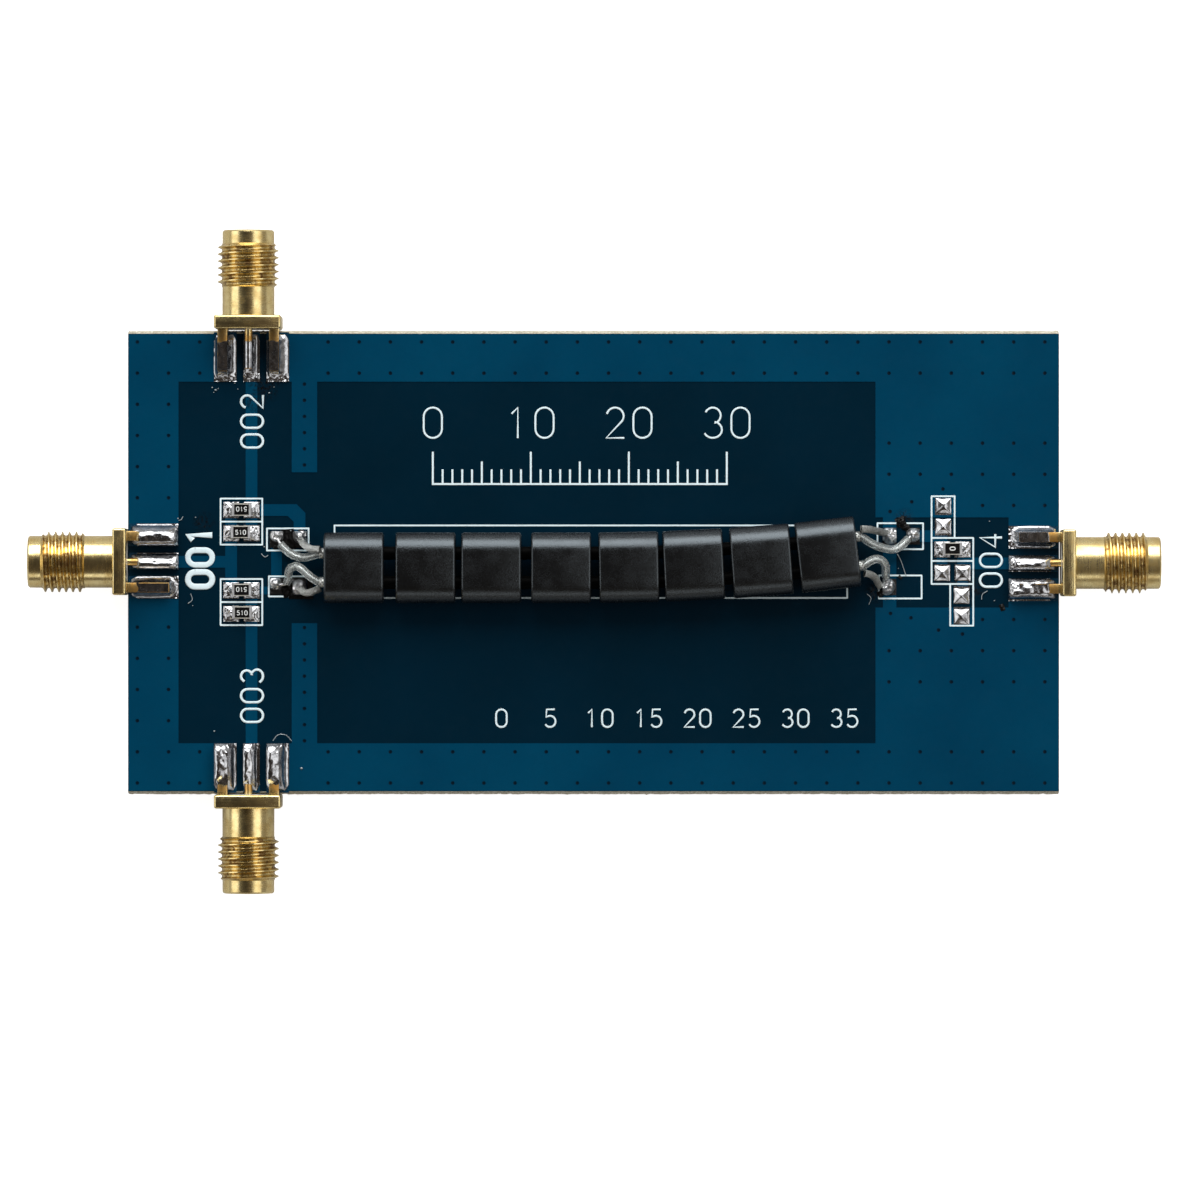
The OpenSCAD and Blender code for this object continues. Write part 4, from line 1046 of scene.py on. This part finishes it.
def spatter():
    pieces = []
    for x, y, radius in beads:
        bead = fresh(bpy.ops.mesh.primitive_uv_sphere_add, segments=14, ring_count=8, radius=radius)
        spot = Matrix.Translation(onBoard(x, y, board["padTop"] + radius * 0.5))
        bead.data.transform(spot @ Matrix.Diagonal((1.2, 0.9, 0.7, 1)))
        pieces.append(bead)
    settle(pieces, "fluxBeads", "fleck", "solder", smooth=60)


wireJoints("left", 3.0)
wireJoints("right", 9.0)
chipSolder()
sparePillows()
fluxCrusts()
fluxWhiskers()
spatter()
print("solder made")


# Print
ink = {"thick": 0.03, "line": 0.2, "sides": 2, "bevel": 0.012,
       # text, x and y of its middle from the middle of the board, height, turn and width of the stroke
       "ports": [("001", -40.15, 0.5, 3.1, 90, 0.62), ("002", -34.85, 14.4, 2.5, 90, 0.26),
                 ("003", -34.85, -13.6, 2.5, 90, 0.26), ("004", 40.55, 0.2, 2.5, 90, 0.26)],
       "bigScale": {"x": -16.4, "y": 12.6, "count": 4, "height": 3.3, "step": 10, "value": 10, "base": 8.0,
                    "ticks": {10: 3.2, 5: 2.2, 1: 1.4}},
       "smallScale": {"x": -9.4, "y": -16.9, "count": 8, "height": 2.0, "step": 5, "value": 5}}

# Each number is one line or more through points on a field 6 wide and 10 high. The letter a stands for
# an arc: its middle, its radii, its first angle and its last
digits = {
    "0": [[("a", 3, 7, 3, 3, 0, 180), ("a", 3, 3, 3, 3, 180, 360), (6, 7)]],
    "1": [[(1.2, 8), (3.2, 10), (3.2, 0)]],
    "2": [[("a", 3, 7.2, 2.8, 2.8, 165, -35), (0, 0), (6, 0)]],
    "3": [[("a", 2.9, 7.4, 2.6, 2.6, 155, -75), ("a", 2.9, 2.7, 3, 2.7, 75, -155)]],
    "4": [[(4.4, 0), (4.4, 10), (0, 3), (6, 3)]],
    "5": [[(5.4, 10), (0.9, 10), (0.5, 5.7), ("a", 2.8, 3.2, 3.1, 3.2, 110, -150)]]}
digitWide, digitHigh, digitGap = 6, 10, 3


def digitLines(sign):
    lines = []
    for parts in digits[sign]:
        line = []
        for part in parts:
            if part[0] != "a":
                line.append(part)
                continue
            x, y, wide, high, first, last = part[1:]
            for k in range(13):
                angle = math.radians(first + (last - first) * k / 12)
                line.append((x + wide * math.cos(angle), y + high * math.sin(angle)))
        lines.append(line)
    return lines


# A word of numbers, made as a line with round ends and made flat. It lies on the board from low to high
def numeral(text, x, y, height, turn, weight, low, high):
    unit = (height - weight) / digitHigh
    obj = fresh(bpy.ops.object.add, type="CURVE")
    curve = obj.data
    curve.dimensions = "3D"
    curve.bevel_depth = weight / 2
    curve.bevel_resolution = ink["sides"]
    curve.use_fill_caps = True
    start = -(len(text) * digitWide + (len(text) - 1) * digitGap) / 2
    for place, sign in enumerate(text):
        left = start + place * (digitWide + digitGap)
        for line in digitLines(sign):
            spline = curve.splines.new("POLY")
            spline.points.add(len(line) - 1)
            for point, (u, v) in zip(spline.points, line):
                point.co = ((left + u) * unit, (v - digitHigh / 2) * unit, 0, 1)
    bpy.ops.object.convert(target="MESH")
    obj = bpy.context.object
    flat = Matrix.Diagonal((1, 1, (high - low) / weight, 1))
    obj.data.transform(Matrix.Translation(onBoard(x, y, (low + high) / 2)) @ turnZ(turn) @ flat)
    return obj


def stroke(x1, y1, x2, y2, level):
    half = ink["line"] / 2
    low = onBoard(min(x1, x2) - half, min(y1, y2) - half, level)
    high = onBoard(max(x1, x2) + half, max(y1, y2) + half, level + ink["thick"])
    return bar(low, high, ink["bevel"], 1)


# A row of numbers with equal steps
def numberRow(row, level):
    y, high = row["y"] + row["height"] / 2, row["height"]
    return [numeral(str(i * row["value"]), row["x"] + i * row["step"], y, high, 0, ink["line"], level,
                    level + ink["thick"]) for i in range(row["count"])]


def printWork():
    level, big = board["top"], ink["bigScale"]
    top = board["padTop"] + ink["thick"]
    marks = [numeral(*port, level, top) for port in ink["ports"]] + numberRow(big, level)
    left, base, ticks = big["x"], big["base"], big["ticks"]
    steps = (big["count"] - 1) * big["step"]
    marks.append(stroke(left, base, left + steps, base, level))
    for tick in range(steps + 1):
        tall = ticks[next(size for size in ticks if tick % size == 0)]
        marks.append(stroke(left + tick, base + ink["line"], left + tick, base + tall, level))
    settle(marks + numberRow(ink["smallScale"], level), "printedNumbers", "ink", "ink")


# Text, height, turn and width of the stroke for each chip
chipTexts = [("510", 0.52, 180, 0.085), ("510", 0.52, 0, 0.085), ("510", 0.52, 180, 0.085),
             ("510", 0.52, 0, 0.085), ("0", 0.64, 90, 0.12)]


def chipMarks():
    level = board["padTop"] + chips["high"] + 0.015
    marks = [numeral(text, *place, high, turn, weight, level - 0.01, level + 0.01)
             for place, (text, high, turn, weight) in zip(chips["places"], chipTexts)]
    settle(marks, "chipNumbers", "chipMark", "ink")


printWork()
chipMarks()
print("print made")


# Dark dimples of lacquer that close the vias
lids = {"radius": 0.19, "thick": 0.04, "proud": 0.006, "apart": 0.5, "sides": 12, "inset": 0.5, "sink": 0.4}


# The middles of the bores, from the rims that they leave in the laminate's upper face
def viaPlaces():
    inside = (board["length"] / 2 - 0.5, board["width"] / 2 - 0.5)
    spots = []
    for vert in nodes["laminate"].data.vertices:
        spot = vert.co * 1000
        off = spot - onBoard(0, 0)
        if abs(spot.z - board["top"]) > 0.01 or abs(off.x) > inside[0] or abs(off.y) > inside[1]:
            continue
        for group in spots:
            if abs(group[0].x - spot.x) + abs(group[0].y - spot.y) < lids["apart"]:
                group.append(spot)
                break
        else:
            spots.append([spot])
    return [sum(group, Vector()) / len(group) for group in spots]


def viaLids():
    radius, thick = lids["radius"], lids["thick"]
    master = fresh(bpy.ops.mesh.primitive_cylinder_add, vertices=lids["sides"], radius=radius, depth=thick)
    editOn(master)
    choose(master, "faces", lambda face: face.normal.z > 0.5)
    bpy.ops.mesh.inset(thickness=radius * lids["inset"], depth=-thick * lids["sink"])
    editOff()
    level, pieces = board["padTop"] + lids["proud"] - thick / 2, []
    for spot in viaPlaces():
        lid = copyOf(master)
        lid.data.transform(Matrix.Translation((spot.x, spot.y, level)))
        pieces.append(lid)
    bpy.data.objects.remove(master)
    print("vias closed:", len(pieces))
    settle(pieces, "viaLids", "lid", "lacquer", smooth=40)


viaLids()


# Torn edges of the board
torn = {"high": 0.7, "out": 0.12, "sink": 0.02, "cells": (760, 6)}


def tornEdge(side, name):
    obj = fresh(bpy.ops.mesh.primitive_grid_add, x_subdivisions=torn["cells"][0],
                y_subdivisions=torn["cells"][1], size=1)
    middle = (board["bottom"] + board["top"]) / 2
    for vert in obj.data.vertices:
        x, t = vert.co.x * (board["length"] - 0.1), vert.co.y * 2
        high = torn["high"] / 2 * (1 + 0.2 * rough(x, side, 1.4, 2.0))
        fibres = 0.5 + 0.9 * rough(x, t, 2.3, 5.0 + side) + 0.4 * rough(x, t, 7.0, 8.0)
        out = torn["out"] * fibres * (1 - t * t)
        y = side * (board["width"] / 2 - torn["sink"] + max(torn["sink"], out))
        vert.co = onBoard(x, y, middle + t * high)
    closeSheet(obj, (0, -0.05 * side, 0))
    settle([obj], name, "torn", "laminate")


tornEdge(1, "upperTornEdge")
tornEdge(-1, "lowerTornEdge")
print("edges torn")


# Finishes of the solids that stay
carried = {"laminate": "laminate", "top_copper": "copper", "bottom_copper": "copper", "silkscreen": "ink",
           "top_pads": "tin", "bottom_pads": "tin", "chip_coats": "chipCoat"}
for name in jackTurns:
    carried[name + "_jack_insulator"] = "insulator"
    carried[name + "_jack_contact"] = name + "Gold"
for name in ("resistor_1", "resistor_2", "resistor_3", "resistor_4", "link"):
    carried[name + "_ceramic"] = "chipCeramic"
    carried[name + "_caps"] = "caps"
for name, look in carried.items():
    for slot in nodes[name].material_slots:
        slot.material = finish[look]
print("solids finished:", len(carried))


# Floor, lamps and camera
studio = {
    "floor": (0.86, 0.86, 0.86), "floorSize": 6, "floorGlow": 0.85, "floorInMetal": 0.12,
    "reflected": (0.45, 0.45, 0.45), "white": (1, 1, 1), "zenith": (0.014, 0.011, 0.009),
    "zenithRight": (0.075, 0.057, 0.043), "horizon": (0.4, 0.39, 0.38), "behind": (0.11, 0.09, 0.07),
    # where the sky goes over from behind to horizon, from left to right and from low to high
    "turn": (-0.5, 0.5), "side": (-0.12, 0.16), "rise": (0.5, 0.98),
    # place, size, watts
    "lamps": {"topBox": ((0.0, 0.62, 0.42), (1.0, 0.6), 7.2),
              "bottomBox": ((0.0, -0.66, 0.32), (1.0, 0.2), 0.57),
              "leftBox": ((-0.62, 0.0, 0.34), (0.6, 0.42), 0.95),
              "rightBox": ((0.46, 0.0, 0.56), (0.6, 0.46), 1.1)},
    "camera": {"middle": (0.66, -3.83), "away": 1000.0, "lens": 294.0, "sensor": 36.0,
               "clip": (0.01, 20.0)}}


# The floor looks white to the camera, dimmer in metal, and keeps the shadow of the part
def floorAndWorld():
    floor = fresh(bpy.ops.mesh.primitive_plane_add, size=studio["floorSize"])
    floor.name = "floor"
    s = newFinish("paleFloor", Roughness=0.9)
    path = s.add("LightPath").outputs
    s.feed("Base Color", s.blend(path["Is Glossy Ray"], studio["floor"], studio["reflected"]))
    seen = s.maths("MAXIMUM", path["Is Camera Ray"], path["Is Transmission Ray"])
    seen = s.maths("MAXIMUM", seen, s.times(path["Is Glossy Ray"], studio["floorInMetal"]))
    glow = s.add("Emission", {"Color": (*studio["white"], 1), "Strength": studio["floorGlow"]})
    dark = s.add("Emission", {"Color": (0, 0, 0, 1), "Strength": 0.0})
    lit = s.add("MixShader", {0: seen, 1: dark.outputs[0], 2: glow.outputs[0]})
    both = s.add("AddShader", {0: s.main.outputs[0], 1: lit.outputs[0]})
    s.tree.links.new(both.outputs[0], s.tree.nodes["Material Output"].inputs[0])
    floor.data.materials.append(s.owner)
    s = Shader(bpy.data.worlds.new("studio"), "Background")
    bpy.context.scene.world = s.owner
    way = s.axes(s.add("TexCoord").outputs["Generated"])
    low = s.shade(way[1], *studio["turn"], studio["behind"], studio["horizon"])
    high = s.shade(way[0], *studio["side"], studio["zenith"], studio["zenithRight"])
    sky = s.shade(way[2], *studio["rise"], low, high)
    s.feed("Color", s.blend(s.add("LightPath").outputs["Is Camera Ray"], sky, studio["white"]))


def lampsAndCamera():
    for name, (place, size, watts) in studio["lamps"].items():
        data = bpy.data.lights.new(name, "AREA")
        data.shape, data.size, data.size_y, data.energy = "RECTANGLE", size[0], size[1], watts
        lamp = newObject(name, data)
        lamp.location = place
        lamp.rotation_euler = (-Vector(place)).to_track_quat("-Z", "Y").to_euler()
    setup = studio["camera"]
    data = bpy.data.cameras.new("camera")
    data.lens, data.sensor_width = setup["lens"], setup["sensor"]
    data.clip_start, data.clip_end = setup["clip"]
    camera = newObject("camera", data)
    camera.location = onBoard(*setup["middle"], setup["away"] + board["padTop"]) / 1000
    bpy.context.scene.camera = camera
    bpy.context.scene.view_settings.view_transform = "Standard"


floorAndWorld()
lampsAndCamera()
print("studio ready")
